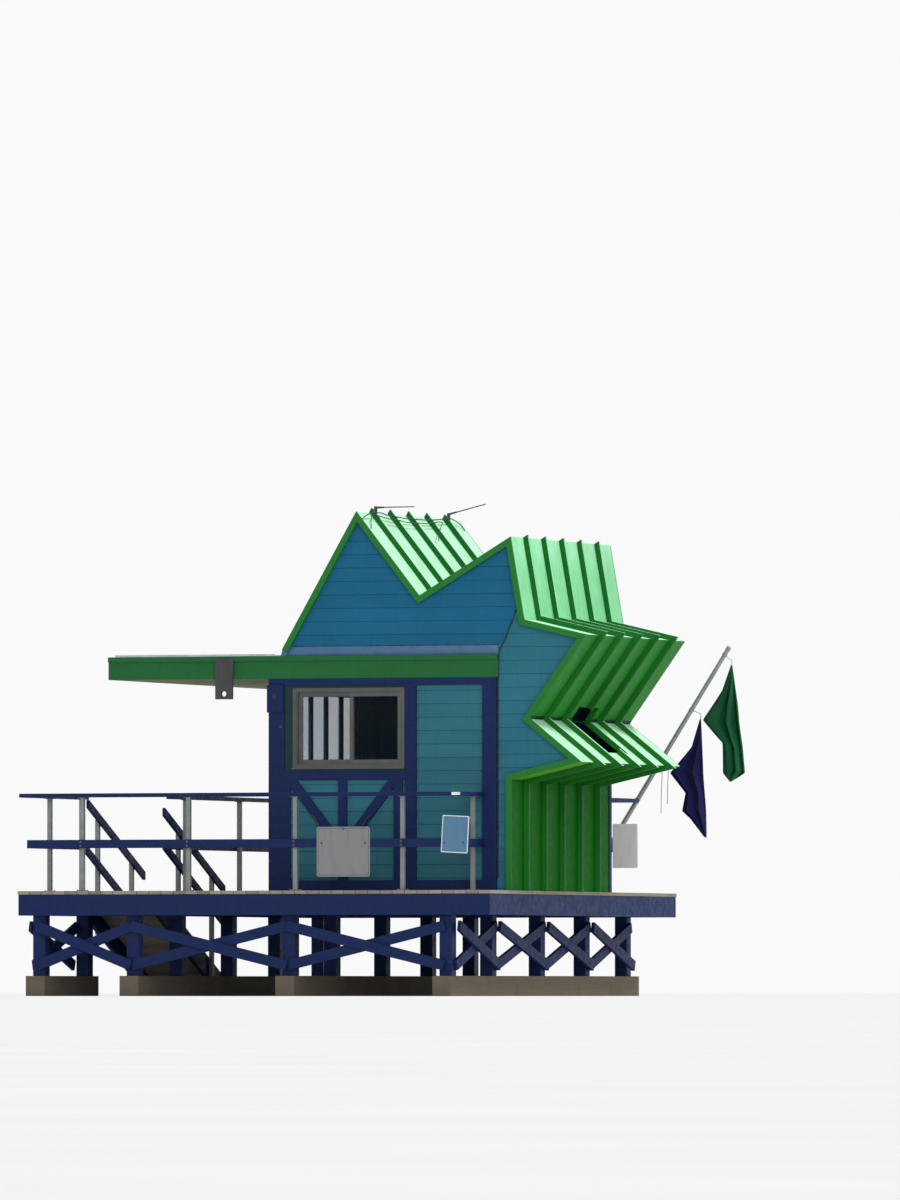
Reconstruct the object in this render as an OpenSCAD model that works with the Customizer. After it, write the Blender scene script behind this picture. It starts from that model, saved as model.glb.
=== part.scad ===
// Beach lifeguard tower: a small boarded hut with a folded, star-shaped cladding on its right side,
// a flat canopy that reaches out to the left, and a railed timber deck with a ramp, on skids.
// Millimetres, +Z up, front at -Y, ground at z = 0, origin under the middle skid.

/* [Hut] */
// length of the hut from its front edge to its back edge
hut_d = 3400; // [3100:50:3700]
// distance from the left edge of the hut to the right face of its lower part
body_w = 2955; // [2900:5:3000]
// thickness of the front, back and left walls
wall_t = 100; // [80:5:120]
// how far the front and back walls sit inside the edge of the cladding
wall_set = 40; // [30:5:50]
// thickness of the floor inside the hut
floor_t = 25; // [18:1:40]

/* [Window and door] */
// left side of the front window
win_x = 292; // [270:2:310]
// width of the front window
win_w = 1360; // [1300:10:1380]
// height of the windows
win_h = 917; // [850:1:950]
// width of the windows' outer frames
win_frame = 52; // [40:1:60]
// width of the sliding sashes' frames
sash_w = 45; // [35:1:50]
// distance of the side window from the front edge
side_win_y = 640; // [500:10:760]
// width of the side window
side_win_w = 2040; // [1800:10:2200]
// left side of the rear doorway
door_x = 1480; // [1380:10:1520]
// width of the rear doorway
door_w = 820; // [760:10:860]
// height of the rear doorway
door_h = 2040; // [1950:10:2080]

/* [Star profile] */
// height of the left eave above the canopy
eave_up = 75; // [60:5:100]
// distance of the tall ridge from the left edge
ridge_x = 1075; // [950:5:1150]
// height of the tall ridge above the deck
ridge_z = 4330; // [4150:10:4450]
// distance of the valley from the left edge
valley_x = 1840; // [1780:10:1900]
// height of the valley above the deck
valley_z = 3360; // [3300:10:3420]
// distance of the second peak from the left edge
peak_x = 2945; // [2880:5:2990]
// height of the second peak above the deck
peak_z = 4020; // [3900:10:4100]
// distance of the upper inward fold from the left edge
fold_x1 = 3110; // [3060:10:3150]
// height of the upper inward fold above the deck
fold_z1 = 3075; // [3030:5:3110]
// distance of the upper spike's tip from the left edge
spike_x1 = 3860; // [3750:10:3920]
// height of the upper spike's tip above the deck
spike_z1 = 2900; // [2860:10:2940]
// distance of the lower inward fold from the left edge
fold_x2 = 3180; // [3130:10:3230]
// height of the lower inward fold above the deck
fold_z2 = 1950; // [1920:5:1980]
// distance of the lower spike's tip from the left edge
spike_x2 = 3800; // [3700:10:3880]
// height of the lower spike's tip above the deck
spike_z2 = 1455; // [1420:5:1500]
// height where the lower spike meets the lower wall
foot_z = 1260; // [1240:10:1290]
// thickness of the folded cladding
clad_t = 65; // [55:5:80]

/* [Battens] */
// how far the battens stand out from the cladding
batten_h = 62; // [45:1:75]
// thickness of a batten
batten_t = 38; // [30:1:45]
// spacing of the battens
batten_pitch = 610; // [590:5:620]
// distance of the middle batten from the front edge
batten_y = 1640; // [1600:5:1720]

/* [Notch] */
// width of the opening cut through the lower fold
notch_w = 680; // [500:10:700]
// distance of the opening's middle from the front edge
notch_y = 1700; // [1650:10:1750]
// length of the opening down the face of the lower spike
notch_down = 590; // [500:10:620]
// length of the opening up the soffit above the fold
notch_up = 190; // [150:10:240]

/* [Canopy] */
// underside of the canopy above the deck
canopy_h = 2425; // [2390:5:2450]
// how far the canopy reaches out to the left of the hut
canopy_out = 1965; // [1600:5:2200]
// distance of the canopy's right side from the left edge of the hut
canopy_right = 2300; // [2200:10:2400]
// length of the canopy from front to back
canopy_d = 5500; // [5200:50:5600]
// depth of the canopy's edge
canopy_t = 260; // [230:5:280]
// thickness of the canopy's sheets
sheet_t = 18; // [12:1:24]
// spacing of the canopy's joists
joist_pitch = 600; // [400:50:700]

/* [Deck] */
// height of the deck above the ground
deck_z = 1200; // [1100:10:1400]
// thickness of the deck boards
deck_t = 40; // [30:1:50]
// depth of the deck's beams
beam_h = 240; // [200:5:260]
// width of the walkway in front of the hut
walk_w = 800; // [760:10:1000]
// how far the front part of the deck reaches out to the left of the hut
deck_left = 2770; // [2700:10:2900]
// how far the deck reaches out behind the hut
deck_back = 2250; // [2200:10:2400]
// width and height of a skid
skid = 230; // [200:5:260]
// width of the square base posts
base_post = 150; // [120:5:180]
// width of the crossed boards between the base posts
brace_w = 120; // [100:5:140]

/* [Rails and ramp] */
// height of the handrail above the deck
rail_h = 1114; // [1050:1:1150]
// thickness of the flat handrail
rail_t = 45; // [38:1:50]
// width of the flat handrail
rail_w = 140; // [110:5:150]
// width of the middle and sloping boards
mid_w = 96; // [90:1:120]
// thickness of the middle and sloping boards
mid_t = 38; // [30:1:45]
// underside of the middle board above the deck
mid_z = 488; // [440:1:520]
// distance of the rail's centre line from the edge of the deck
rail_in = 85; // [75:5:100]
// width of the square rail posts
post_w = 50; // [40:1:60]
// spacing of the posts along the front and back rails
post_pitch = 1300; // [1200:10:1400]
// where the ramp leaves the deck, behind the hut's front edge
ramp_y = 900; // [850:10:1000]
// width of the ramp
ramp_w = 950; // [900:10:1000]
// slope of the ramp in degrees
ramp_a = 24.5; // [20:0.5:26]

/* [Flags] */
// diameter of the flag pole
pole_d = 50; // [40:1:60]
// height of the pole's top above the deck
pole_top = 2878; // [2700:1:3000]
// diameter of the flags' hangers
hanger_d = 10; // [8:1:12]
// thickness of the flags
flag_t = 6; // [4:1:8]
// length of the limp green flag
green_l = 1373; // [1200:1:1450]
// length of the limp purple flag
purple_l = 1399; // [1200:1:1450]

/* [Signs and rods] */
// thickness of the signs on the rails
sign_t = 6; // [4:1:8]
// width of the wide front sign
sign_w = 645; // [600:1:700]
// height of the wide front sign
sign_h = 567; // [520:1:600]
// width of the narrow front sign
small_w = 320; // [280:5:350]
// height of the narrow front sign
small_h = 420; // [380:5:450]
// width of the sign on the back rail
back_w = 310; // [280:5:340]
// height of the sign on the back rail
back_h = 519; // [480:1:550]
// length of the thin rods at the tall ridge
rod_l = 465; // [400:5:520]
// diameter of the thin rods
rod_d = 14; // [10:1:18]

/* [Hidden] */
g = 0.3;
left_x = -500;
front_y = -2400;
board = 40;
trim = 20;
fascia_w = clad_t + 5;
inner_face = wall_set + wall_t;
face = wall_set - g;
deck_right = body_w + 30;
deck_end = hut_d + deck_back;
beam_z = deck_z - deck_t - beam_h;
slot_z0 = canopy_h - g;
slot_z1 = canopy_h + canopy_t + g;
right_post = body_w - clad_t - 123;
header = 80;
win_trim = 30;
win_z1 = canopy_h - header - win_trim;
win_z0 = win_z1 - win_h;
side_win_y1 = side_win_y + side_win_w;
skid_xs = [-1400, -left_x, 2400];
far_x = 220 - deck_left;
row_ys = [200 - walk_w, ramp_y - 150, -front_y, hut_d + 550, deck_end - 250];
rail_xl = rail_in - deck_left;
rail_xr = body_w - 395;
rail_y = rail_in - walk_w;
rail_yb = deck_end - rail_in;
rail_xb = rail_xr - 110;
ramp_x0 = rail_xl + 35;
ramp_x1 = ramp_x0 + ramp_w;
side_x = ramp_x1 + 100;
rail_xs = side_x + 70;
ramp_lap = 150;
rise = tan(ramp_a);
run = deck_z / rise;

// outline of the cladding in the plane of the front, from the left eave round to the right foot
prof = [[170, canopy_h + canopy_t + eave_up], [ridge_x, ridge_z], [valley_x, valley_z],
    [peak_x, peak_z], [fold_x1, fold_z1], [spike_x1, spike_z1], [fold_x2, fold_z2],
    [spike_x2, spike_z2], [body_w, foot_z], [body_w, 0]];
last = len(prof) - 1;
fold = 6;

function unit(v) = v / norm(v);
function left_of(v) = [-v[1], v[0]];
function seg_n(i) = left_of(unit(prof[i + 1] - prof[i]));
function mitre(n1, n2, t) = let (m = unit(n1 + n2)) m * t / (m * n1);
// point i of the outline moved out by t, or in where t is negative, mitred at the folds
function off(i, t) =
    i == 0 ? prof[0] + seg_n(0) * t :
    i == last ? prof[last] + seg_n(last - 1) * t :
    prof[i] + mitre(seg_n(i - 1), seg_n(i), t);
// point at fold i that lies a out from the stretch before it and b out from the stretch after it
function corner(i, a, b) = let (n = seg_n(i - 1), m = seg_n(i), d = n[0] * m[1] - n[1] * m[0])
    prof[i] + [a * m[1] - b * n[1], b * n[0] - a * m[0]] / d;

timber = "#6e6558";
deck_grey = "#8a8478";
navy = "#232c58";
teal = "#2f6580";
green = "#2f9a45";
dark_green = "#256b38";
aluminium = "#77716e";

// shifts hut coordinates, measured from its left and front edges, into the part's frame
module at(z) {
    translate([left_x, front_y, z]) children();
}

module box(a, b) {
    translate(a) cube(b - a);
}

// an x-z outline made solid from y0 to y1
module along_y(y0, y1) {
    translate([0, y1, 0]) rotate([90, 0, 0]) linear_extrude(y1 - y0) children();
}

// a y-z outline made solid from x0 to x1
module along_x(x0, x1) {
    translate([x0, 0, 0]) rotate([90, 0, 90]) linear_extrude(x1 - x0) children();
}

// outline of a straight board of width w between two points
module strip(p, q, w) {
    n = left_of(unit(q - p)) * w / 2;
    polygon([p + n, q + n, q - n, p - n]);
}

module rect(x0, z0, x1, z1) {
    translate([x0, z0]) square([x1 - x0, z1 - z0]);
}

module ring(x0, z0, x1, z1, w) {
    difference() {
        rect(x0, z0, x1, z1);
        rect(x0 + w, z0 + w, x1 - w, z1 - w);
    }
}

module skids() {
    h = skid / 2;
    color(timber) at(0) {
        for (x = skid_xs)
            box([x - h, -walk_w, 0], [x + h, deck_end, skid]);
        box([far_x - h, -walk_w, 0], [far_x + h, ramp_y, skid]);
    }
}

module base_posts() {
    h = base_post / 2;
    color(navy) at(0) {
        for (x = skid_xs, y = row_ys)
            box([x - h, y - h, skid + g], [x + h, y + h, beam_z - g]);
        for (y = [row_ys[0], row_ys[1]])
            box([far_x - h, y - h, skid + g], [far_x + h, y + h, beam_z - g]);
    }
}

// crossed boards on the outer faces of the base posts
module base_braces() {
    z0 = skid + brace_w;
    z1 = beam_z - brace_w;
    out = base_post / 2 + g;
    xr = skid_xs[2] + out;
    xl = far_x - out;
    yf = row_ys[0] - out;
    cols = concat([far_x], skid_xs);
    color(navy) at(0) {
        for (i = [0 : 3]) {
            along_x(xr, xr + board) strip([row_ys[i], z0], [row_ys[i + 1], z1], brace_w);
            along_x(xr + board + g, xr + 2 * board + g)
                strip([row_ys[i], z1], [row_ys[i + 1], z0], brace_w);
        }
        along_x(xl - board, xl) strip([row_ys[0], z0], [row_ys[1], z1], brace_w);
        along_x(xl - 2 * board - g, xl - board - g) strip([row_ys[0], z1], [row_ys[1], z0], brace_w);
        for (i = [0 : 2]) {
            along_y(yf - board, yf) strip([cols[i], z0], [cols[i + 1], z1], brace_w);
            along_y(yf - 2 * board - g, yf - board - g)
                strip([cols[i], z1], [cols[i + 1], z0], brace_w);
        }
    }
}

module deck_outline(inset) {
    polygon([[-deck_left + inset, -walk_w + inset], [deck_right - inset, -walk_w + inset],
        [deck_right - inset, deck_end - inset], [side_x + inset, deck_end - inset],
        [side_x + inset, ramp_y - inset], [-deck_left + inset, ramp_y - inset]]);
}

// rim boards and the cross beams over the base posts
module deck_frame() {
    h = base_post / 2;
    rim = 10;
    color(navy) at(beam_z) {
        linear_extrude(beam_h - g) difference() {
            deck_outline(rim);
            deck_outline(rim + board);
        }
        for (y = row_ys)
            box([side_x + rim, y - h, 0], [deck_right - rim, y + h, beam_h - g]);
        for (y = [row_ys[0], row_ys[1]])
            box([-deck_left + rim, y - h, 0], [side_x + rim + board, y + h, beam_h - g]);
    }
}

module deck_boards() {
    color(deck_grey) at(deck_z - deck_t) linear_extrude(deck_t) deck_outline(0);
}

module hut_floor() {
    color(deck_grey) at(deck_z + g)
        box([inner_face + g, inner_face + g, 0],
            [body_w - clad_t - 2 * g, hut_d - inner_face - g, floor_t]);
}

// star-shaped outline inside the cladding, with the slot that the canopy passes through
module wall_outline() {
    wall_in = clad_t + g;
    polygon(concat([[wall_set, 0], [wall_set, slot_z0], [canopy_right + g, slot_z0],
        [canopy_right + g, slot_z1], [off(0, -wall_in)[0], slot_z1]],
        [for (i = [0 : last]) off(i, -wall_in)]));
}

module front_wall() {
    color(teal) at(deck_z + g) along_y(wall_set, inner_face) difference() {
        wall_outline();
        rect(win_x - g, win_z0 - g, win_x + win_w + g, win_z1 + g);
    }
}

module back_wall() {
    color(teal) at(deck_z + g) along_y(hut_d - inner_face, hut_d - wall_set) difference() {
        wall_outline();
        rect(door_x, -1, door_x + door_w, door_h);
    }
}

module left_wall() {
    color(teal) at(deck_z + g) along_x(wall_set, inner_face) difference() {
        rect(inner_face + g, 0, hut_d - inner_face - g, slot_z0);
        rect(side_win_y - g, win_z0 - g, side_win_y1 + g, win_z1 + g);
    }
}

// the opening through the lower fold, from the fold along the panel that ends at point j
module notch_cut(j, len) {
    deep = 2 * clad_t;
    n = seg_n(min(fold, j)) * deep;
    b = prof[fold] + unit(prof[j] - prof[fold]) * len;
    at(deck_z) along_y(notch_y - notch_w / 2, notch_y + notch_w / 2)
        polygon([off(fold, deep), b + n, b - n, off(fold, -deep)]);
}

// one straight stretch of the folded cladding, from point i to the next, over h
module panel(i, foot = 0) {
    color(green) at(deck_z) along_y(0, hut_d)
        polygon([off(i, 0), off(i + 1, 0) + [0, foot], off(i + 1, -clad_t) + [0, foot], off(i, -clad_t)]);
}

module roof_slope_left() {
    panel(0);
}

module roof_slope_right() {
    panel(1);
}

module roof_slope_inner() {
    panel(2);
}

module upper_wall_panel() {
    panel(3);
}

module upper_spike_top() {
    panel(4);
}

module upper_spike_under() {
    difference() {
        panel(5);
        notch_cut(fold - 1, notch_up);
    }
}

module lower_spike_top() {
    difference() {
        panel(6);
        notch_cut(fold + 1, notch_down);
    }
}

module lower_spike_under() {
    panel(7);
}

module lower_wall_panel() {
    panel(8, g);
}

// batten k of five: one straight stretch from the tall ridge to the valley, and one folded
// stretch from the second peak to the foot; both are cut off flush with the slope behind them
module batten(k) {
    y0 = batten_y + (k - 3) * batten_pitch - batten_t / 2;
    foot = [0, g];
    color(green) at(deck_z) along_y(y0, y0 + batten_t) {
        polygon([corner(1, 0, g), corner(2, g, g), corner(2, batten_h, g), corner(1, 0, batten_h)]);
        polygon(concat([corner(3, 0, g)], [for (i = [4 : last - 1]) off(i, g)],
            [off(last, g) + foot, off(last, batten_h) + foot],
            [for (i = [last - 1 : -1 : 4]) off(i, batten_h)], [corner(3, 0, batten_h)]));
    }
}

module batten_1() {
    batten(1);
}

module batten_2() {
    batten(2);
}

// the middle batten stops at the notch
module batten_3() {
    difference() {
        batten(3);
        notch_cut(fold - 1, notch_up);
        notch_cut(fold + 1, notch_down);
    }
}

module batten_4() {
    batten(4);
}

module batten_5() {
    batten(5);
}

module fascia_outline() {
    polygon(concat([for (i = [0 : last]) off(i, 0)], [for (i = [last : -1 : 0]) off(i, -fascia_w)]));
}

module front_fascia() {
    color(dark_green) at(deck_z + g) along_y(-trim, -g) fascia_outline();
}

module back_fascia() {
    color(dark_green) at(deck_z + g) along_y(hut_d + g, hut_d + trim) fascia_outline();
}

// boards round the canopy's edge; the front one runs on across the hut
module canopy_fascia() {
    z0 = canopy_h;
    z1 = canopy_h + canopy_t;
    cap = 60;
    x1 = right_post + 18;
    color(dark_green) at(deck_z) {
        box([-canopy_out, 0, z0], [x1, face, z1]);
        box([-canopy_out, -trim, z1 - cap], [x1, 0, z1]);
        box([-canopy_out, 0, z0], [face - canopy_out, canopy_d, z1]);
        box([-canopy_out, canopy_d - face, z0], [canopy_right, canopy_d, z1]);
        box([-canopy_out, canopy_d, z1 - cap], [canopy_right, canopy_d + trim, z1]);
        box([canopy_right - face, hut_d - wall_set + g, z0], [canopy_right, canopy_d, z1]);
    }
}

// top sheet on joists that pass through the hut
module canopy_roof() {
    x0 = wall_set - canopy_out;
    x1 = canopy_right - wall_set;
    z1 = canopy_h + canopy_t;
    color("#c9ccd6") at(deck_z) {
        box([x0, wall_set, z1 - sheet_t], [x1, canopy_d - wall_set, z1]);
        for (y = [joist_pitch / 3 : joist_pitch : canopy_d - 2 * board])
            box([x0, y, canopy_h + sheet_t + g], [x1, y + board, z1 - sheet_t]);
    }
}

module canopy_soffit() {
    color("#a09868") at(deck_z)
        box([wall_set - canopy_out, wall_set, canopy_h],
            [canopy_right - wall_set, canopy_d - wall_set, canopy_h + sheet_t]);
}

// metal strip over the canopy at the foot of the gable, and under the left eave
module canopy_flashing() {
    up = 103;
    z0 = slot_z1;
    z1 = z0 + up;
    e = prof[0];
    a = off(0, -clad_t - 2 * g);
    k = (ridge_x - e[0]) / (ridge_z - e[1]);
    x1 = right_post + 18;
    color("#8090b8") at(deck_z) {
        along_y(trim, face)
            polygon([[e[0] - trim, z0], [x1, z0], [x1, z1], [a[0] + (z1 - a[1]) * k, z1],
                a - [0, g], e - [2, 3]]);
        along_y(0, hut_d)
            polygon([[e[0] - trim, z0], [a[0] - g, z0], a - [g, g], e - [2, 3]]);
    }
}

// short board on the canopy's front edge, with a hole near its lower end
module fascia_bracket() {
    w = 208;
    x0 = -630;
    y1 = -trim - g;
    z0 = canopy_h - 232;
    hole = 62;
    color("#6a5d60") at(deck_z) difference() {
        box([x0, y1 - board, z0], [x0 + w, y1, canopy_h + canopy_t - 32]);
        translate([x0 + w / 2, y1, z0 + hole]) rotate([90, 0, 0])
            cylinder(d = hole, h = 3 * board, center = true);
    }
}

// corner posts, middle post, header, sill board and the crossed boards under the window
module hut_framing() {
    corner = 190;
    post_r = 172;
    post_m = 133;
    stud = 104;
    plate = 120;
    brace = 110;
    top = canopy_h - g;
    xm = win_x + win_w + 8;
    xr = right_post;
    mid = (corner + xm) / 2;
    sill = win_z0 - win_trim - g;
    under = sill - 100;
    color(navy) at(deck_z + g) {
        box([0, 0, 0], [corner, face, top]);
        box([0, 0, 0], [face, corner, top]);
        box([xm, 0, 0], [xm + post_m, face, top]);
        box([xr - post_r, 0, 0], [xr, face, top]);
        box([corner, 0, win_z1 + win_trim + g], [xr, face, top]);
        box([corner, 0, under], [xm, face, sill]);
        box([corner, 0, 0], [xr, face, plate]);
        for (x = [corner + 20, mid - 25, xm - 85])
            box([x - stud / 2, 0, plate], [x + stud / 2, face, under]);
        for (s = [-1, 1])
            along_y(0, face)
                strip([mid - 25 + s * 630, under], [mid - 25 + s * 40, 0.41 * under], brace);
        box([0, hut_d - corner, 0], [face, hut_d, top]);
        box([0, hut_d - face, 0], [corner, hut_d, top]);
    }
}

// outer frame with two sliding sashes, the right one in the front track
module window_frame() {
    x1 = win_x + win_w;
    mid = win_x + win_w / 2 + 22;
    lap = sash_w / 2;
    f = win_frame;
    color(aluminium) at(deck_z + g) {
        along_y(10, 110) ring(win_x, win_z0, x1, win_z1, f);
        along_y(68, 92) ring(win_x + f, win_z0 + f, mid + lap, win_z1 - f, sash_w);
        along_y(44, 68) ring(mid - lap, win_z0 + f, x1 - f, win_z1 - f, sash_w);
    }
}

module window_trim() {
    color("#2b5c50") at(deck_z + g) along_y(trim - 5, face) difference() {
        rect(190 + g, win_z0 - win_trim, win_x + win_w + 8 - g, win_z1 + win_trim);
        rect(win_x - g, win_z0 - g, win_x + win_w + g, win_z1 + g);
    }
}

side_light = (side_win_w - win_frame) / 4;

// fixed frame with four lights in the left wall
module side_window_frame() {
    color(aluminium) at(deck_z + g) along_x(wall_set - trim, inner_face - 10) difference() {
        rect(side_win_y, win_z0, side_win_y1, win_z1);
        for (i = [0 : 3])
            rect(side_win_y + win_frame + i * side_light, win_z0 + win_frame,
                side_win_y + (i + 1) * side_light, win_z1 - win_frame);
    }
}

module window_glass() {
    x1 = win_x + win_w;
    mid = win_x + win_w / 2 + 22;
    lap = sash_w / 2;
    e = win_frame + sash_w + g;
    z0 = win_z0 + e;
    z1 = win_z1 - e;
    color("#a8c8d8", 0.35) at(deck_z + g) {
        box([win_x + e, 77, z0], [mid - lap - g, 83, z1]);
        box([mid + lap + g, 53, z0], [x1 - e, 59, z1]);
        for (i = [0 : 3])
            box([80, side_win_y + win_frame + i * side_light + g, win_z0 + win_frame + g],
                [86, side_win_y + (i + 1) * side_light - g, win_z1 - win_frame - g]);
    }
}

// leaf folded back flat against the rear wall, left of the open doorway
module back_door() {
    leaf = door_w - 8;
    hinge = 110;
    x1 = door_x - trim;
    y0 = hut_d - wall_set + g;
    y1 = y0 + 12;
    color(navy) at(deck_z + g) {
        box([x1 - leaf, y1, 8], [x1, y1 + board, door_h - 4]);
        for (z = [hinge, door_h / 2, door_h - 3 * hinge])
            box([x1 - 50, y0, z], [x1 - 20, y1, z + hinge]);
        box([x1 - leaf + 10, y0, door_h / 2], [x1 - leaf + 40, y1, door_h / 2 + 60]);
    }
}

// flat top boards and upright middle boards along the open edges of the deck
module deck_rails() {
    z0 = rail_h - rail_t;
    w = rail_w / 2;
    b = post_w / 2 + g;
    c = b + mid_t;
    yr = hut_d - wall_set + g;
    m1 = mid_z + mid_w;
    color(navy) at(deck_z) {
        box([rail_xl - w, rail_y - w, z0], [rail_xr + w, rail_y + w, rail_h]);
        box([rail_xl - w, rail_y, z0], [rail_xl + w, ramp_y + ramp_lap, rail_h]);
        box([rail_xr - w, rail_y, z0], [rail_xr + w, face, rail_h]);
        box([rail_xs - w, ramp_y, z0], [rail_xs + w, rail_yb + w, rail_h]);
        box([rail_xs - w, rail_yb - w, z0], [rail_xb + w, rail_yb + w, rail_h]);
        box([rail_xb - w, yr, z0], [rail_xb + w, rail_yb, rail_h]);
        box([rail_xl + b, rail_y - c, mid_z], [rail_xr + c, rail_y - b, m1]);
        box([rail_xl + b, rail_y - c, mid_z], [rail_xl + c, ramp_y, m1]);
        box([rail_xr + b, rail_y - c, mid_z], [rail_xr + c, face, m1]);
        box([rail_xs - c, ramp_y, mid_z], [rail_xs - b, rail_yb - b, m1]);
        box([rail_xs - c, rail_yb - c, mid_z], [rail_xb + w, rail_yb - b, m1]);
    }
}

// top edge of the left and right sloping boards over the distance d behind the deck's edge
function slope_left(d) = rail_h - rail_t - g - (d - ramp_lap) * rise;
function slope_right(d) = rail_h - 1.5 * mid_w - d * rise;

module rail_posts() {
    h = post_w / 2;
    first = rail_xr - 660;
    side_pitch = 1750;
    pts = concat(
        [for (x = [first : -post_pitch : rail_xl + post_pitch / 4]) [x, rail_y]],
        [for (x = [first : -post_pitch : rail_xs + post_pitch / 4]) [x, rail_yb]],
        [for (y = [ramp_y + side_pitch / 4 : side_pitch : rail_yb]) [rail_xs, y]],
        [[rail_xl, 0], [rail_xr, rail_y + 515], [rail_xb, hut_d + 5 * post_w]]);
    color("#8c8c88") at(deck_z) {
        for (p = pts)
            box([p[0] - h, p[1] - h, g], [p[0] + h, p[1] + h, rail_h - rail_t - g]);
        ramp_post(ramp_x0 - g - post_w, post_w, rail_h - rail_t - g);
        for (d = [0.21 * run, 0.62 * run]) {
            ramp_post(ramp_x0 - g - post_w, d, slope_left(d + post_w) - trim);
            ramp_post(ramp_x1 + g, d, slope_right(d + post_w) - trim);
        }
    }
}

// post on the ramp's edge, from below its stringer up to height top
module ramp_post(x, d, top) {
    y = ramp_y + d;
    box([x, y, -d * rise - beam_h], [x + post_w, y + post_w, top]);
}

// boarded ramp on two stringers, from the deck's left part down to the sand
module ramp() {
    string = 200;
    y0 = ramp_y + g;
    y1 = ramp_y + run;
    up = 1 / cos(ramp_a);
    along = 1 / sin(ramp_a);
    color(deck_grey) at(0) {
        along_x(ramp_x0, ramp_x1)
            polygon([[y0, deck_z], [y1, 0], [y1 - deck_t * along, 0], [y0, deck_z - deck_t * up]]);
        for (x = [ramp_x0, ramp_x1 - post_w])
            along_x(x, x + post_w)
                polygon([[y0, deck_z - 2], [y1 - 5, 0], [y1 - (deck_t + string) * along, 0],
                    [y0, deck_z - (deck_t + string) * up]]);
    }
}

// sloping boards along the ramp, on the right-hand faces of its posts
module ramp_rails() {
    len = 0.74 * run;
    x1 = ramp_x1 + post_w + 2 * g;
    mid_top = mid_z + mid_w;
    color(navy) at(deck_z) {
        sloping_board(ramp_x0, ramp_lap + g, len, slope_left(ramp_lap + g));
        sloping_board(ramp_x0, g, len, mid_top);
        sloping_board(x1, g, len, slope_right(g));
        sloping_board(x1, g, len, mid_top);
    }
}

// board from d0 to d1 behind the deck's edge, with its upper corner at height top
module sloping_board(x, d0, d1, top) {
    drop = (d1 - d0) * rise;
    along_x(x, x + mid_t)
        polygon([[ramp_y + d0, top], [ramp_y + d1, top - drop],
            [ramp_y + d1, top - drop - mid_w], [ramp_y + d0, top - mid_w]]);
}

pole_y = rail_yb + rail_w / 2 + g + pole_d / 2;
pole_foot = [rail_xb - 467, 350];
pole_lean = 33;
pole_len = (pole_top - pole_foot[1]) / cos(pole_lean);
green_top = [pole_foot[0] + (pole_top - pole_foot[1]) * tan(pole_lean) + 14, pole_top - 198];
purple_top = green_top - [394, 630];

// height of the pole's axis over x
function pole_z(x) = pole_foot[1] + (x - pole_foot[0]) / tan(pole_lean);

// leaning pole clamped to the back rail, with two hangers for the flags
module flag_pole() {
    xm = pole_foot[0] + (mid_z + mid_w / 2 - pole_foot[1]) * tan(pole_lean);
    color("#9a9c9c") at(deck_z) {
        translate([pole_foot[0], pole_y, pole_foot[1]]) rotate([0, pole_lean, 0]) {
            cylinder(d = pole_d, h = pole_len);
            translate([0, 0, pole_len - 1]) cylinder(d = 1.4 * pole_d, h = 20);
        }
        box([xm - 45, rail_yb - post_w / 2, mid_z + 18],
            [xm + 45, pole_y, mid_z + mid_w - 18]);
        translate([green_top[0], pole_y, green_top[1] + g])
            cylinder(d = hanger_d, h = pole_top - green_top[1]);
        translate([purple_top[0], pole_y, purple_top[1] + g])
            cylinder(d = hanger_d, h = pole_z(purple_top[0]) - purple_top[1]);
    }
}

// a limp flag of length l held at its upper corner; its outline is in thousandths of that length
module flag(top, outline, l) {
    at(deck_z) along_y(pole_y - flag_t / 2, pole_y + flag_t / 2)
        polygon([for (p = outline) top + p * l / 1000]);
}

module green_flag() {
    color("#00553a") flag(green_top, [[-22, 0], [-268, -469], [-87, -667], [-81, -923],
        [-15, -1000], [111, -924], [64, -441], [22, 0]], green_l);
}

module purple_flag() {
    color("#2a2050") flag(purple_top, [[-21, 0], [-274, -453], [-132, -622], [-159, -773],
        [-84, -840], [54, -1000], [29, -500], [21, 0]], purple_l);
}

// blank sheets on the middle boards of the front and back rails
module rail_signs() {
    f = rail_y - post_w / 2 - mid_t - 2 * g;
    b = rail_yb - post_w / 2 - mid_t - 2 * g;
    back_x = rail_xb + 99;
    top = mid_z + mid_w;
    post = rail_xr - 660;
    color("#b8bcbc") at(deck_z) {
        box([post - 373 - sign_w, f - sign_t, top + 137 - sign_h], [post - 373, f, top + 137]);
        translate([rail_xr - 177, f, top - 154]) rotate([0, 3, 0])
            box([0, -sign_t, 0], [small_w, 0, small_h]);
        box([back_x - back_w, b - sign_t, top + 235 - back_h], [back_x, b, top + 235]);
    }
}

// two thin rods on small blocks, beside the tips of the first and last batten at the tall ridge
module ridge_rods() {
    tip = corner(1, 0, batten_h);
    u = unit(prof[2] - prof[1]);
    near = tip + seg_n(1) * g + u * 45;
    far = near + u * 50;
    top = tip[1] + 10;
    thick = 30;
    color("#5a5a58") at(deck_z)
        for (r = [[-2, 0.5], [2, 14]]) {
            y = batten_y + r[0] * batten_pitch;
            along_y(y - thick / 2, y + thick / 2)
                polygon([near, far, [far[0], top], [near[0], top]]);
            translate([near[0] + thick / 2, y, top - rod_d]) rotate([0, 90 - r[1], 0])
                cylinder(d = rod_d, h = rod_l);
        }
}

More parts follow.
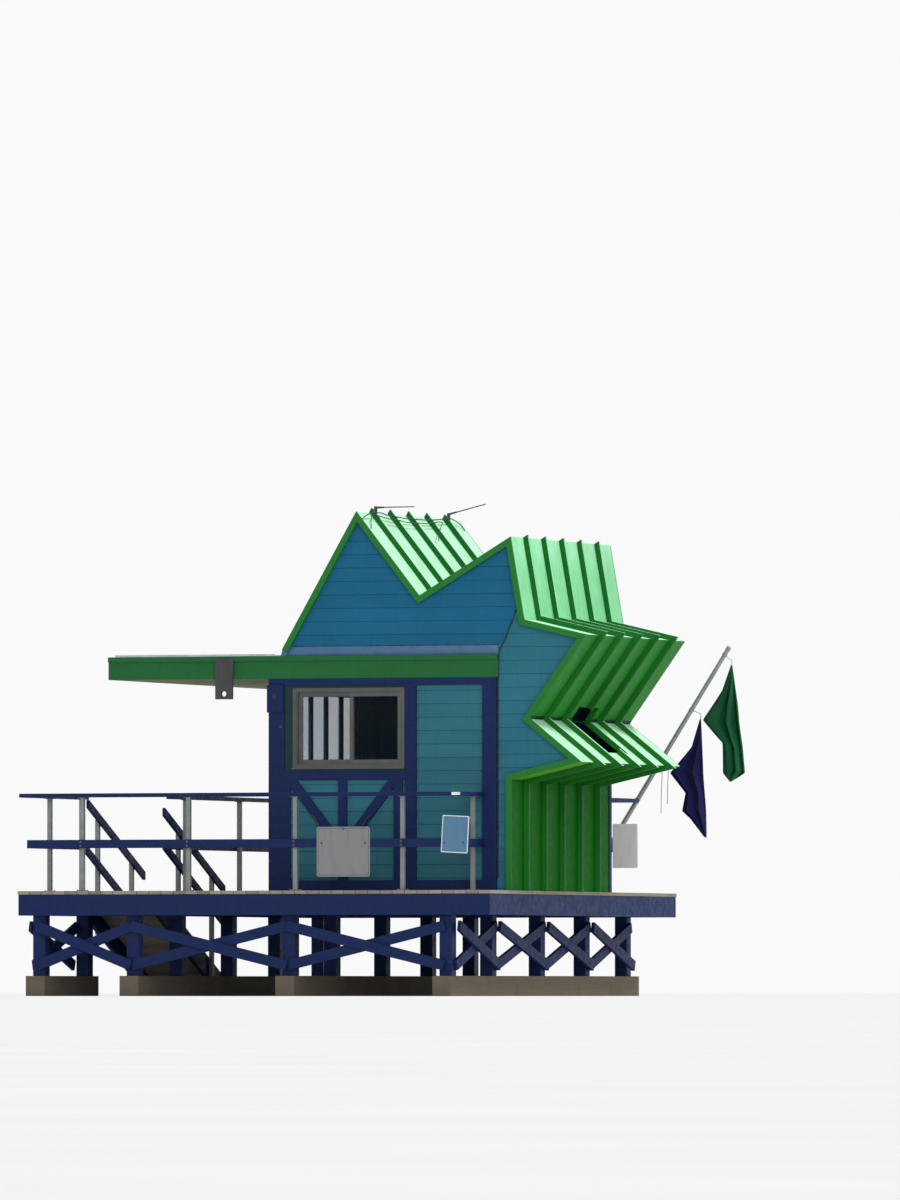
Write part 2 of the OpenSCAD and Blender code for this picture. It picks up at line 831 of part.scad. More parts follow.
skids();
base_posts();
base_braces();
deck_frame();
deck_boards();
hut_floor();
front_wall();
back_wall();
left_wall();
roof_slope_left();
roof_slope_right();
roof_slope_inner();
upper_wall_panel();
upper_spike_top();
upper_spike_under();
lower_spike_top();
lower_spike_under();
lower_wall_panel();
batten_1();
batten_2();
batten_3();
batten_4();
batten_5();
front_fascia();
back_fascia();
canopy_fascia();
canopy_roof();
canopy_soffit();
canopy_flashing();
fascia_bracket();
hut_framing();
window_frame();
window_trim();
side_window_frame();
window_glass();
back_door();
deck_rails();
rail_posts();
ramp();
ramp_rails();
flag_pole();
green_flag();
purple_flag();
rail_signs();
ridge_rods();
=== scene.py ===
import math
import random

import bmesh
import bpy
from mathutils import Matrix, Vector


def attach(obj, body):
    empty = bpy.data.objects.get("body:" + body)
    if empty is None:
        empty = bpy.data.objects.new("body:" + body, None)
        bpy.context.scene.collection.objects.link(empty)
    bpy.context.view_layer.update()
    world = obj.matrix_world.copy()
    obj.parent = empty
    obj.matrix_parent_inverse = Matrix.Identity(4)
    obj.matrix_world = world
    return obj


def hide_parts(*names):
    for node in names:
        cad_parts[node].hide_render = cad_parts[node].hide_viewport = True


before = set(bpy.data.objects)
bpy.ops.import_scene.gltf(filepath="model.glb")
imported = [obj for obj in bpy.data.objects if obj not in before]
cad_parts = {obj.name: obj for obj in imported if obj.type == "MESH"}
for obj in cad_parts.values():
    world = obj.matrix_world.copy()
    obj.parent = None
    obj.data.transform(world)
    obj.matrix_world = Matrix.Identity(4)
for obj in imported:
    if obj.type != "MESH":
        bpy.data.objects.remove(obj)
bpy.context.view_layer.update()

# The hut's own sizes, in millimetres, measured from its left and front edges and from the deck's top, and the
# frame's origin measured from those edges.
ORIGIN_X, ORIGIN_Y = 500, 2400
HUT_D, BODY_W, WALL_T, WALL_SET = 3400, 2955, 100, 40
CLAD_T, GAP = 65, 0.3
DECK_Z, DECK_T, BEAM_H = 1200, 40, 240
WALK_W, DECK_LEFT, DECK_BACK = 800, 2770, 2250
DECK_END = HUT_D + DECK_BACK
DECK_RIGHT = BODY_W + 30
RAMP_Y, RAMP_W, RAMP_A = 900, 950, math.radians(24.5)
RAIL_H, RAIL_T, RAIL_W, RAIL_IN = 1114, 45, 140, 85
MID_Z, MID_W, MID_T, POST_W = 488, 96, 38, 50
RAIL_XL, RAIL_XR = RAIL_IN - DECK_LEFT, BODY_W - 395
RAIL_XB = RAIL_XR - 110
RAIL_Y, RAIL_YB = RAIL_IN - WALK_W, DECK_END - RAIL_IN
POST_PITCH, POST_FIRST = 1300, RAIL_XR - 660
RAMP_X0 = RAIL_XL + 35
RAMP_X1 = RAMP_X0 + RAMP_W
SIDE_X = RAMP_X1 + 100
RAIL_XS = SIDE_X + 70
CANOPY_H, CANOPY_T, CANOPY_OUT, CANOPY_RIGHT, CANOPY_D = 2425, 260, 1965, 2300, 5500
CANOPY_TOP = CANOPY_H + CANOPY_T
FLASH_TOP = CANOPY_TOP + 103
WIN_X, WIN_W, WIN_Z0, WIN_Z1 = 292, 1360, 1398, 2315
POST_R = BODY_W - CLAD_T - 123
DOOR_X, DOOR_W, DOOR_H = 1480, 820, 2040
SIDE_Y0, SIDE_Y1 = 640, 2680
ROWS = [200 - WALK_W, 750, 2400, HUT_D + 550, DECK_END - 250]
BATTENS = [1640 + (k - 3) * 610 for k in range(1, 6)]
BATTEN_HALF = 19
NOTCH_Y0, NOTCH_Y1 = 1360, 2040
PROFILE = [(170, 2760), (1075, 4330), (1840, 3360), (2945, 4020), (3110, 3075), (3860, 2900),
           (3180, 1950), (3800, 1455), (BODY_W, 1260), (BODY_W, 0)]
# Siding: height that each board shows, and where one course begins
EXPOSURE = 152.5
COURSE_0 = 2464
# Corner posts' inner edge, foot of the framed panels, and the wire's bends beside the folds
FRAME_IN, FRAME_FOOT = 191, 120
WIRE_BEND, WIRE_Z = (2861, 2844), 3240


def at(x, y, z):
    """A point of the hut, in millimetres, as a point of the frame, in metres."""
    return Vector(((x - ORIGIN_X) / 1000, (y - ORIGIN_Y) / 1000, (z + DECK_Z) / 1000))


def add(name, data):
    """A new object in the scene."""
    ob = bpy.data.objects.new(name, data)
    bpy.context.collection.objects.link(ob)
    return ob


# Camera: a long lens from the right of the front, a little above the ground.
def make_camera():
    data = bpy.data.cameras.new("camera")
    data.sensor_width = 36
    data.lens = 420
    data.clip_start, data.clip_end = 1, 1500
    cam = add("camera", data)
    cam.location = (56.171, -152.035, 0.057)
    aim = Vector((1.708, -2.4, 4.505)) - cam.location
    cam.rotation_euler = aim.to_track_quat("-Z", "Y").to_euler()
    bpy.context.scene.camera = cam


make_camera()


# Materials
def srgb(r, g, b):
    """A colour as seen, 0 to 255, as the linear colour that a shader takes."""
    def line(c):
        c /= 255
        return c / 12.92 if c <= 0.04045 else ((c + 0.055) / 1.055) ** 2.4
    return (line(r), line(g), line(b), 1)


def scaled(c, k):
    return tuple(min(1, v * k) for v in c[:3]) + (1,)


class Shader:
    """A material's nodes, with short names for the ones that are used here."""

    def __init__(self, name):
        self.mat = bpy.data.materials.new(name)
        self.mat.use_nodes = True
        self.tree = self.mat.node_tree
        self.bsdf = next(n for n in self.tree.nodes if n.type == "BSDF_PRINCIPLED")
        self.coord = self.node("ShaderNodeTexCoord").outputs["Object"]

    def node(self, kind, **values):
        n = self.tree.nodes.new(kind)
        for k, v in values.items():
            setattr(n, k, v)
        return n

    def put(self, socket, value):
        if isinstance(value, bpy.types.NodeSocket):
            self.tree.links.new(value, socket)
        else:
            socket.default_value = value

    def fill(self, n, **values):
        """Sets inputs of a node by name, with _ for a space."""
        for k, v in values.items():
            self.put(n.inputs[k.replace("_", " ")], v)

    def noise(self, scale, stretch=(1, 1, 1), detail=4, rough=0.55, distort=0.0):
        m = self.node("ShaderNodeMapping")
        self.fill(m, Vector=self.coord, Scale=stretch)
        n = self.node("ShaderNodeTexNoise")
        self.fill(n, Vector=m.outputs[0], Scale=scale, Detail=detail, Roughness=rough, Distortion=distort)
        return n.outputs["Fac"]

    def span(self, value, lo, hi, out_lo=0.0, out_hi=1.0):
        """A value brought from one range to another, and held inside it."""
        n = self.node("ShaderNodeMapRange")
        self.fill(n, Value=value, From_Min=lo, From_Max=hi, To_Min=out_lo, To_Max=out_hi)
        return n.outputs[0]

    def math(self, how, a, b=0.0):
        n = self.node("ShaderNodeMath", operation=how)
        self.put(n.inputs[0], a)
        self.put(n.inputs[1], b)
        return n.outputs[0]

    def mix(self, fac, a, b):
        n = self.node("ShaderNodeMix", data_type="RGBA")
        self.put(n.inputs[0], fac)
        self.put(n.inputs[6], a)
        self.put(n.inputs[7], b)
        return n.outputs[2]

    def varied(self, fac, colour, a, b):
        """The colour, from a to b times as bright."""
        return self.mix(self.span(fac, 0.3, 0.7), scaled(colour, a), scaled(colour, b))

    def tone(self):
        """The shade that each board of a piece carries, from 0 to 1."""
        return self.span(self.node("ShaderNodeAttribute", attribute_name="tone").outputs["Fac"], -1, 1)

    def facing(self, way):
        """How far the surface faces a fixed direction of the frame, from -1 to 1."""
        g = self.node("ShaderNodeNewGeometry")
        d = self.node("ShaderNodeVectorMath", operation="DOT_PRODUCT")
        self.put(d.inputs[0], g.outputs["Normal"])
        d.inputs[1].default_value = Vector(way).normalized()
        return d.outputs["Value"]

    def height(self):
        n = self.node("ShaderNodeSeparateXYZ")
        self.put(n.inputs[0], self.coord)
        return n.outputs["Z"]

    def bump(self, height, strength, distance=0.002, under=None):
        n = self.node("ShaderNodeBump")
        self.fill(n, Strength=strength, Distance=distance, Height=height)
        if under is not None:
            self.fill(n, Normal=under)
        return n.outputs[0]

    def done(self, colour, rough, normal=None, **fixed):
        self.fill(self.bsdf, Base_Color=colour, Roughness=rough, **fixed)
        if normal is not None:
            self.fill(self.bsdf, Normal=normal)
        return self.mat


# Stretch of a noise along the grain, and the heights (in metres) at which paints change: below the first the battens
# drop their painted shade, above the second the painted sunlight begins
GRAIN = {"x": (1.6, 46, 46), "y": (46, 1.6, 46), "z": (46, 46, 1.6)}
LOW_SHADE_HEIGHTS, SUNLIT_HEIGHTS = (4.0, 4.25), (2.4, 2.5)
# The direction of the painted sunlight, which paints paler the surfaces that face it, and the direction in which the
# painted sunlight is palest
SUN_SIDE, SUN_TOP = (0.78, 0.0, 0.62), (0.3, 0, 0.95)


def paint(name, colour, grain="z", chips=0.5, streaks=0.35, sunlit_tint=None, sunlit_top_tint=None, low=None, gloss=0.2):
    """Weathered paint on wood: brushed grain, rain streaks and small chips; where asked, painted sunlight, paler
    where a surface faces the key light, and painted shade above a height.
    """
    s = Shader(name)
    fine = s.noise(5, GRAIN[grain], 5, 0.6)
    broad = s.noise(1.3, detail=3)
    base = s.varied(broad, colour, 0.86, 1.14)
    base = s.mix(s.tone(), s.mix(0.5, base, scaled(colour, 0.7)), s.mix(0.55, base, scaled(colour, 1.25)))
    base = s.mix(s.span(fine, 0.35, 0.75, 0, 0.4), base, scaled(colour, 0.72))
    # Below a height the colour turns to low; the darker colour above it is painted shade, as on the battens' front
    # faces up on the lit slopes.
    if low:
        base = s.mix(s.span(s.height(), *LOW_SHADE_HEIGHTS), s.varied(broad, low, 0.86, 1.14), base)
    # Painted sunlight: above a height, surfaces that face the key light take the sunlit tints in patches, palest
    # where they face up; lower down they keep the darker colour as painted shade.
    if sunlit_tint:
        facing = s.span(s.facing(SUN_SIDE), 0.35, 0.8)
        patchy = s.span(s.noise(3.5, detail=5), 0.25, 0.7, 0.75, 1)
        upper = s.span(s.height(), *SUNLIT_HEIGHTS)
        light = s.mix(s.span(s.facing(SUN_TOP), 0.5, 0.8), sunlit_tint, sunlit_top_tint)
        base = s.mix(s.math("MULTIPLY", s.math("MULTIPLY", facing, patchy), upper), base, light)
    rain = s.noise(2.2, (9, 9, 0.7), 6, 0.65)
    base = s.mix(s.span(rain, 0.52, 0.8, 0, streaks), base, scaled(colour, 0.45))
    worn = s.math("ADD", s.noise(9, (1, 1, 1), 6, 0.7, 0.6), s.math("MULTIPLY", s.span(fine, 0.3, 0.7), 0.16))
    chip = s.span(worn, 0.815 - 0.05 * chips, 0.845 - 0.05 * chips)
    base = s.mix(s.math("MULTIPLY", chip, 0.8), base, srgb(120, 108, 92))
    shine = s.span(s.noise(14), 0.3, 0.7, 0.46, 0.69)
    n = s.bump(fine, 0.35, 0.0015)
    n = s.bump(s.noise(60, detail=3), 0.18, 0.0008, n)
    n = s.bump(s.math("SUBTRACT", 1.0, chip), 0.3, 0.0008, n)
    return s.done(base, s.math("ADD", shine, s.math("MULTIPLY", chip, 0.25)), n, Specular_IOR_Level=gloss)


def bare_wood(name, colour, grain, rough=0.82):
    """Grey, weathered timber with open grain, checks and stains."""
    s = Shader(name)
    fine = s.noise(6, GRAIN[grain], 6, 0.62, 0.3)
    rings = s.noise(2.2, tuple(0.35 * v for v in GRAIN[grain]), 4, 0.6, 1.4)
    base = s.mix(s.span(fine, 0.3, 0.72), scaled(colour, 1.22), scaled(colour, 0.68))
    base = s.mix(s.span(rings, 0.4, 0.62, 0, 0.5), base, scaled(colour, 0.55))
    base = s.mix(s.tone(), s.mix(0.6, base, scaled(colour, 0.62)), s.mix(0.5, base, scaled(colour, 1.4)))
    stain = s.span(s.noise(2.4, detail=5), 0.5, 0.75, 0, 0.45)
    base = s.mix(stain, base, scaled(colour, 0.45))
    check = s.span(s.noise(7, tuple(v * (0.5 if v < 2 else 1.4) for v in GRAIN[grain]), 3, 0.5), 0.7, 0.735)
    base = s.mix(check, base, scaled(colour, 0.22))
    n = s.bump(fine, 0.6, 0.002)
    n = s.bump(s.math("SUBTRACT", 1.0, check), 0.7, 0.003, n)
    return s.done(base, s.span(fine, 0.3, 0.7, rough - 0.1, rough + 0.1), n, Specular_IOR_Level=0.25)


def metal(name, colour, metallic, rough, rust=0.0, brushed=(1, 1, 1)):
    """Metal with spangle or brushing, dull spots and, where asked, rust."""
    s = Shader(name)
    fine = s.noise(40, brushed, 4, 0.6)
    base = s.varied(s.noise(6), colour, 0.82, 1.12)
    base = s.mix(s.span(fine, 0.35, 0.7, 0, 0.3), base, scaled(colour, 0.7))
    spot = s.span(s.noise(11, (1, 1, 0.45), 6, 0.7), 0.66 - 0.1 * rust, 0.78 - 0.1 * rust)
    base = s.mix(s.math("MULTIPLY", spot, rust), base, srgb(112, 66, 38))
    r = s.math("ADD", s.span(fine, 0.3, 0.7, rough - 0.08, rough + 0.12), s.math("MULTIPLY", spot, 0.3 * rust))
    n = s.bump(fine, 0.15, 0.0006)
    n = s.bump(spot, 0.25 * rust + 0.01, 0.0008, n)
    return s.done(base, r, n, Metallic=metallic)


def cloth(name, colour):
    """Thin flag nylon: a fine square weave, soft sheen and slight fading."""
    s = Shader(name)
    weave = s.math("ADD", s.noise(900, (1, 1, 0.08), 1), s.noise(900, (0.08, 0.08, 1), 1))
    base = s.varied(s.noise(5, (1, 1, 0.5)), colour, 0.8, 1.3)
    base = s.mix(s.span(weave, 0.8, 1.2, 0, 0.35), base, scaled(colour, 0.6))
    return s.done(base, s.span(weave, 0.8, 1.2, 0.6, 0.85), s.bump(weave, 0.3, 0.0006),
                  Sheen_Weight=0.08, Sheen_Roughness=0.5, Specular_IOR_Level=0.2)


def sheet_metal_sign(name, colour):
    """Enamelled sheet, chalky, with scratches and grime in runs."""
    s = Shader(name)
    grime = s.span(s.noise(5, (3, 3, 0.5), 6, 0.65), 0.5, 0.75, 0, 0.5)
    base = s.mix(grime, colour, scaled(colour, 0.55))
    scratch = s.span(s.noise(30, (0.3, 0.3, 6), 3, 0.5, 0.8), 0.72, 0.76, 0, 0.5)
    base = s.mix(scratch, base, srgb(140, 140, 136))
    return s.done(base, s.span(s.noise(20), 0.3, 0.7, 0.32, 0.5), s.bump(s.noise(35), 0.1, 0.0005))


def glass(name):
    """Clear pane with a dusty film; the side window's panes are painted sky blue and more opaque, a painted
    reflection of the sky.
    """
    s = Shader(name)
    dust = s.noise(2.5, (1, 1, 0.6), 3, 0.5)
    # Panes that face sideways take a painted sky reflection: a sky-blue colour and more opacity.
    side = s.span(s.math("ABSOLUTE", s.facing((1, 0, 0))), 0.3, 0.6)
    clear = s.mix(s.span(dust, 0.35, 0.75), srgb(30, 42, 50), srgb(70, 84, 92))
    base = s.mix(side, clear, srgb(84, 196, 255))
    film = s.span(dust, 0.3, 0.75, 0.04, 0.08)
    return s.done(base, s.span(dust, 0.35, 0.75, 0.03, 0.1), Specular_IOR_Level=0.35,
                  Alpha=s.math("ADD", film, s.math("MULTIPLY", side, 0.36)))


# The green paint's sunlit tints, for painted sunlight, and its own colour, which shaded sides keep
SUNLIT_MINT, SUNLIT_PALE = srgb(141, 220, 164), srgb(200, 255, 217)
LEAF = srgb(30, 128, 33)
NAVY = srgb(15, 35, 83)
M = {
    "deck": bare_wood("deck_timber", srgb(150, 142, 128), "y"),
    "ramp": bare_wood("ramp_timber", srgb(150, 142, 128), "x"),
    "floor": bare_wood("floor_timber", srgb(158, 134, 104), "y", 0.7),
    "skid": bare_wood("skid_timber", srgb(112, 102, 88), "y"),
    "raw": bare_wood("raw_board", srgb(78, 76, 80), "z"),
    "ply": bare_wood("soffit_plywood", srgb(134, 140, 94), "x", 0.75),
    "navy_x": paint("navy_along_x", NAVY, "x"),
    "navy_y": paint("navy_along_y", NAVY, "y"),
    "navy_z": paint("navy_upright", NAVY, "z", chips=0.6),
    "teal_gable": paint("teal_gable", srgb(18, 99, 135), "x", chips=0.3, streaks=0.25),
    "teal_side": paint("teal_side", srgb(42, 113, 132), "x", chips=0.3, streaks=0.25),
    "teal_panel": paint("teal_panel", srgb(47, 111, 125), "x", chips=0.3, streaks=0.3),
    # The walls' inner paint is darker, a painted shade for the hut's inside.
    "teal_in_shaded": paint("teal_inside_painted_shade", srgb(42, 92, 132), "z", chips=0.1, streaks=0.1),
    # The cladding's green, with painted sunlight on the slopes that face the key light
    "green": paint("green_cladding", LEAF, "y", chips=0.15, streaks=0.3, sunlit_tint=SUNLIT_MINT, sunlit_top_tint=SUNLIT_PALE),
    # The lower wall's green is darker, a painted shade under the lower spike.
    "green_low_shaded": paint("green_lower_wall_painted_shade", srgb(10, 100, 14), "z", chips=0.25, streaks=0.3, gloss=0.08),
    # The underside's green is lighter and yellower, painted light bounced from below, and it takes the sunlit mint
    # where its faces, such as those seen through the notch, face the key light.
    "green_under_lit": paint("green_underside_painted_light", srgb(86, 158, 22), "y", chips=0.15, streaks=0.2, sunlit_tint=SUNLIT_MINT,
                         sunlit_top_tint=SUNLIT_MINT, gloss=0.1),
    # The battens: darker above a height, painted shade on their front faces, and with painted sunlight where they
    # face the key light
    "batten": paint("green_battens", srgb(27, 106, 43), "z", chips=0.2, streaks=0.2, sunlit_tint=SUNLIT_MINT, sunlit_top_tint=SUNLIT_PALE,
                    low=srgb(31, 108, 36), gloss=0.1),
    "fascia": paint("dark_green_fascia", srgb(30, 101, 52), "x", chips=0.35, streaks=0.3),
    "edge": paint("green_edge_boards", srgb(36, 120, 48), "z", chips=0.3, streaks=0.25),
    "trim": paint("window_trim_paint", srgb(24, 54, 54), "z", chips=0.3),
    "flashing": metal("flashing_metal", srgb(66, 106, 144), 0.0, 0.5, 0.15),
    "roof": metal("roof_sheet_metal", srgb(196, 200, 208), 0.1, 0.6, 0.1),
    "alu": metal("window_aluminium", srgb(86, 90, 88), 0.2, 0.45, brushed=(0.4, 0.4, 6)),
    "steel": metal("galvanised_steel", srgb(134, 137, 137), 0.45, 0.5, 0.25),
    "pole": metal("pole_aluminium", srgb(158, 163, 162), 0.5, 0.4, brushed=(8, 8, 0.6)),
    "iron": metal("dull_iron", srgb(78, 76, 74), 0.6, 0.55, 0.5),
    "bolt": metal("bolt_steel", srgb(96, 95, 94), 0.7, 0.45, 0.4),
    "black": metal("cable_rubber", srgb(26, 27, 30), 0.0, 0.6),
    "rope": bare_wood("rope_fibre", srgb(70, 66, 60), "z"),
    "green_flag": cloth("green_nylon", srgb(0, 84, 46)),
    "purple_flag": cloth("purple_nylon", srgb(20, 18, 76)),
    "caulk": bare_wood("old_caulk", srgb(44, 48, 54), "x"),
    # A near-black green, painted shadow for the lower fold
    "painted_shadow": paint("painted_fold_shadow", srgb(12, 44, 24), "y", chips=0.0),
    "bars": paint("window_bars_paint", srgb(30, 52, 62), "z", chips=0.2),
    "sign_grey": sheet_metal_sign("sign_grey", srgb(128, 129, 130)),
    "sign_edge": sheet_metal_sign("sign_edge", srgb(88, 86, 90)),
    "sign_white": sheet_metal_sign("sign_white", srgb(248, 248, 247)),
    "sign_blue": sheet_metal_sign("sign_blue", srgb(80, 124, 156)),
    "glass": glass("window_pane"),
}


# Cords: two cables over the battens' tips at the tall ridge, and two rope ends under the tip of the lower fold
RIDGE_TIP = Vector((PROFILE[1][0] + 33, PROFILE[1][1] + 58))
FALL = Vector((PROFILE[2][0] - PROFILE[1][0], PROFILE[2][1] - PROFILE[1][1])).normalized()
AWAY = Vector((-FALL.y, FALL.x))


def curve_through(points, n):
    """n points on a smooth curve through the given ones."""
    ps = [points[0] * 2 - points[1]] + points + [points[-1] * 2 - points[-2]]
    out = []
    for i in range(n):
        s = i / (n - 1) * (len(points) - 1)
        k = min(int(s), len(points) - 2)
        t = s - k
        a, b, c, d = ps[k:k + 4]
        out.append((b * 2 + (c - a) * t + (a * 2 - b * 5 + c * 4 - d) * t * t
                    + (b * 3 - a - c * 3 + d) * t * t * t) / 2)
    return out


def cord(name, points, n, diameter, mat):
    """A round line through the points."""
    path = curve_through([Vector(p) for p in points], n)
    data = bpy.data.curves.new(name, "CURVE")
    data.dimensions = "3D"
    data.bevel_depth = diameter / 2
    data.bevel_resolution = 4
    data.use_fill_caps = True
    line = data.splines.new("POLY")
    line.points.add(n - 1)
    for q, p in zip(line.points, path):
        q.co = (*p, 1)
    data.materials.append(M[mat])
    ob = add(name, data)
    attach(ob, "root")


def on_ridge(y, down, out):
    """A point of the tall ridge's right slope: down from the ridge in height, out from the panel."""
    q = Vector(PROFILE[1]) + FALL * (down / -FALL.y) + AWAY * out
    return at(q.x, y, q.y)


cord("ridge_cable_long", [on_ridge(y, d, o) for y, d, o in (
    (-14, 92, 6), (60, 74, 40), (223, 58, 68), (420, 50, 73), (600, 48, 69), (739, 68, 68), (1012, 79, 72),
    (1257, 89, 69), (1640, 88, 72), (1935, 85, 69), (2250, 75, 72), (2614, 52, 69), (2860, 41, 72), (3000, 44, 62),
    (3131, 54, 46), (3260, 80, 26), (3320, 128, 7))], 40, 0.012, "black")
cord("ridge_cable_short", [on_ridge(y, d, o) for y, d, o in (
    (31, 204, 7), (84, 168, 16), (130, 122, 40), (230, 76, 68), (423, 92, 72), (710, 112, 68), (1030, 122, 72),
    (1222, 134, 68), (1640, 132, 72), (1913, 126, 69), (2250, 104, 72), (2420, 92, 70), (2480, 106, 72),
    (2351, 143, 72), (2165, 207, 72), (2010, 264, 68), (1930, 320, 52))],
    36, 0.010, "black")
for name, x, y, z, drop in (("rope_tail_long", 3770, 2850, 1380, 476), ("rope_tail_short", 3775, 3055, 1443, 428)):
    cord(name, [at(x + a * drop, y + b * drop, z - f * drop) for f, a, b in (
        (0, 0, 0), (0.12, 0, 0.01), (0.3, -0.01, 0.02), (0.6, -0.02, 0.01), (1, -0.03, 0.02))],
        16, 0.007, "rope")


# Building pieces
class Piece:
    """Closed solids of one material, which become one object."""

    def __init__(self):
        self.bm = bmesh.new()
        self.layer = self.bm.faces.layers.float.new("tone")

    def face(self, verts, tone):
        self.bm.faces.new(verts)[self.layer] = tone

    def prism(self, near, far, tone=0.0):
        """A solid between two outlines with the same number of points."""
        a = [self.bm.verts.new(p) for p in near]
        b = [self.bm.verts.new(p) for p in far]
        self.face(a, tone)
        self.face(b[::-1], tone)
        for i in range(len(a)):
            j = (i + 1) % len(a)
            self.face((a[j], a[i], b[i], b[j]), tone)

    def extrude(self, outline, y0, y1):
        """A solid of an outline of (x, z), between two depths."""
        self.prism([at(x, y0, z) for x, z in outline], [at(x, y1, z) for x, z in outline])

    def box(self, a, b, tone=0.0):
        """A box between two corners, in the hut's millimetres."""
        (x0, y0, z0), (x1, y1, z1) = a, b
        ring = ((x0, y0), (x1, y0), (x1, y1), (x0, y1))
        self.prism([at(x, y, z0) for x, y in ring], [at(x, y, z1) for x, y in ring], tone)

    def rod(self, p, q, r, r2=None, n=16):
        """A round bar between two points of the frame, in metres."""
        way = (q - p).normalized()
        u = way.orthogonal().normalized()
        v = way.cross(u)
        r2 = r if r2 is None else r2
        turn = [(math.cos(2 * math.pi * i / n), math.sin(2 * math.pi * i / n)) for i in range(n)]
        self.prism([p + (u * c + v * s) * r for c, s in turn], [q + (u * c + v * s) * r2 for c, s in turn])

    def bolt(self, p, way, r):
        """A washer and a hexagon head."""
        way = Vector(way)
        self.rod(p - way * 0.002, p + way * 0.002, r * 1.7, n=14)
        self.rod(p + way * 0.002, p + way * 0.009, r, r * 0.92, n=6)

    def screw(self, p, way, r):
        way = Vector(way)
        self.rod(p - way * 0.002, p + way * 0.0008, r, r * 0.8, n=8)

    def object(self, name, mat, slot, bevel=0.0, replaces=()):
        bmesh.ops.recalc_face_normals(self.bm, faces=self.bm.faces[:])
        finish_object(name, self.bm, mat, bevel, replaces)


def finish_object(name, bm, mat, bevel=0.0, replaces=(), smooth=False):
    mesh = bpy.data.meshes.new(name)
    bm.to_mesh(mesh)
    bm.free()
    mesh.materials.append(M[mat])
    ob = add(name, mesh)
    if bevel:
        soften(ob, bevel)
    if smooth:
        mesh.polygons.foreach_set("use_smooth", [True] * len(mesh.polygons))
    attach(ob, "root")
    if replaces:
        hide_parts(*replaces)
    return ob


def soften(ob, width, weld=False):
    if weld:
        w = ob.modifiers.new("weld", "WELD")
        w.merge_threshold = 0.00005
        flat = ob.modifiers.new("flat", "DECIMATE")
        flat.decimate_type = "DISSOLVE"
        flat.angle_limit = math.radians(0.5)
    b = ob.modifiers.new("edges", "BEVEL")
    b.width = width
    b.segments = 2
    b.limit_method = "ANGLE"
    b.angle_limit = math.radians(35)


def cut(bm, point, way, **clear):
    """Cuts a flat mesh along a line through a point."""
    bmesh.ops.bisect_plane(bm, geom=bm.verts[:] + bm.edges[:] + bm.faces[:], dist=1e-4, plane_co=point,
                           plane_no=way, **clear)


def flat_region(outer, holes):
    """An outline with holes as a flat mesh of (u, v)."""
    bm = bmesh.new()
    bm.faces.new([bm.verts.new((u, v, 0)) for u, v in outer])
    bmesh.ops.triangulate(bm, faces=bm.faces[:])
    for hole in holes:
        for (ua, va), (ub, vb) in zip(hole, hole[1:] + hole[:1]):
            cut(bm, (ua, va, 0), (va - vb, ub - ua, 0))
    gone = [f for f in bm.faces if any(inside(f.calc_center_median(), h) for h in holes)]
    bmesh.ops.delete(bm, geom=gone, context="FACES")
    return bm


def inside(p, outline):
    hit = False
    for (ua, va), (ub, vb) in zip(outline, outline[1:] + outline[:1]):
        if (va > p.y) != (vb > p.y) and p.x < ua + (p.y - va) * (ub - ua) / (vb - va):
            hit = not hit
    return hit


def keep(flat, low, high):
    """The part of a flat mesh between two values of v."""
    bm = flat.copy()
    way = Vector((0, 1, 0))
    cut(bm, way * low, way, clear_inner=True)
    cut(bm, way * high, way, clear_outer=True)
    if bm.faces:
        bmesh.ops.dissolve_limit(bm, angle_limit=0.01, verts=bm.verts[:], edges=bm.edges[:])
    return bm


def slab(piece, flat, front, place, tone):
    """Adds a flat mesh as a solid from w = 0 to w = front(u, v)."""
    near = {v: piece.bm.verts.new(place(v.co.x, v.co.y, front(v.co.x, v.co.y))) for v in flat.verts}
    far = {v: piece.bm.verts.new(place(v.co.x, v.co.y, 0)) for v in flat.verts}
    for f in flat.faces:
        piece.face([near[v] for v in f.verts], tone)
        piece.face([far[v] for v in reversed(f.verts[:])], tone)
    for e in flat.edges:
        if len(e.link_faces) == 1:
            loop = e.link_loops[0]
            a, b = loop.vert, loop.link_loop_next.vert
            piece.face((near[b], near[a], far[a], far[b]), tone)


def siding(name, outer, place, mat, seed, holes=(), first=COURSE_0):
    """Overlapping boards with a fixed exposure: each is thick at its foot and thin at its head."""
    foot, head, lap, nails, nail_up = 14, 3.5, 2, 400, 22
    rnd = random.Random(seed)
    flat = flat_region(outer, holes)
    boards, heads = Piece(), Piece()
    v_lo, v_hi = min(v for _, v in outer), max(v for _, v in outer)
    n = math.floor((v_lo - first) / EXPOSURE)
    out = (place(0, 0, 1) - place(0, 0, 0)).normalized()
    while first + n * EXPOSURE < v_hi:
        v0 = first + n * EXPOSURE
        v1 = v0 + EXPOSURE
        part = keep(flat, max(v0, v_lo) + 0.01, min(v1, v_hi) - lap)
        if part.faces:
            slab(boards, part, lambda u, v: foot + (head - foot) * (v - v0) / EXPOSURE, place,
                 rnd.uniform(-0.5, 0.5))
            line = v0 + nail_up
            for f in part.faces:
                us = [v.co.x for v in f.verts]
                u = math.ceil(min(us) / nails) * nails
                while u < max(us):
                    if inside(Vector((u, line, 0)), [tuple(v.co.xy) for v in f.verts]):
                        heads.screw(place(u, line, foot - 1.2), out, 0.0035)
                    u += nails
        part.free()
        n += 1
    flat.free()
    boards.object(name, mat, "teal_paint", bevel=0.0012)
    heads.object(name + "_nails", "bolt", "post_steel")


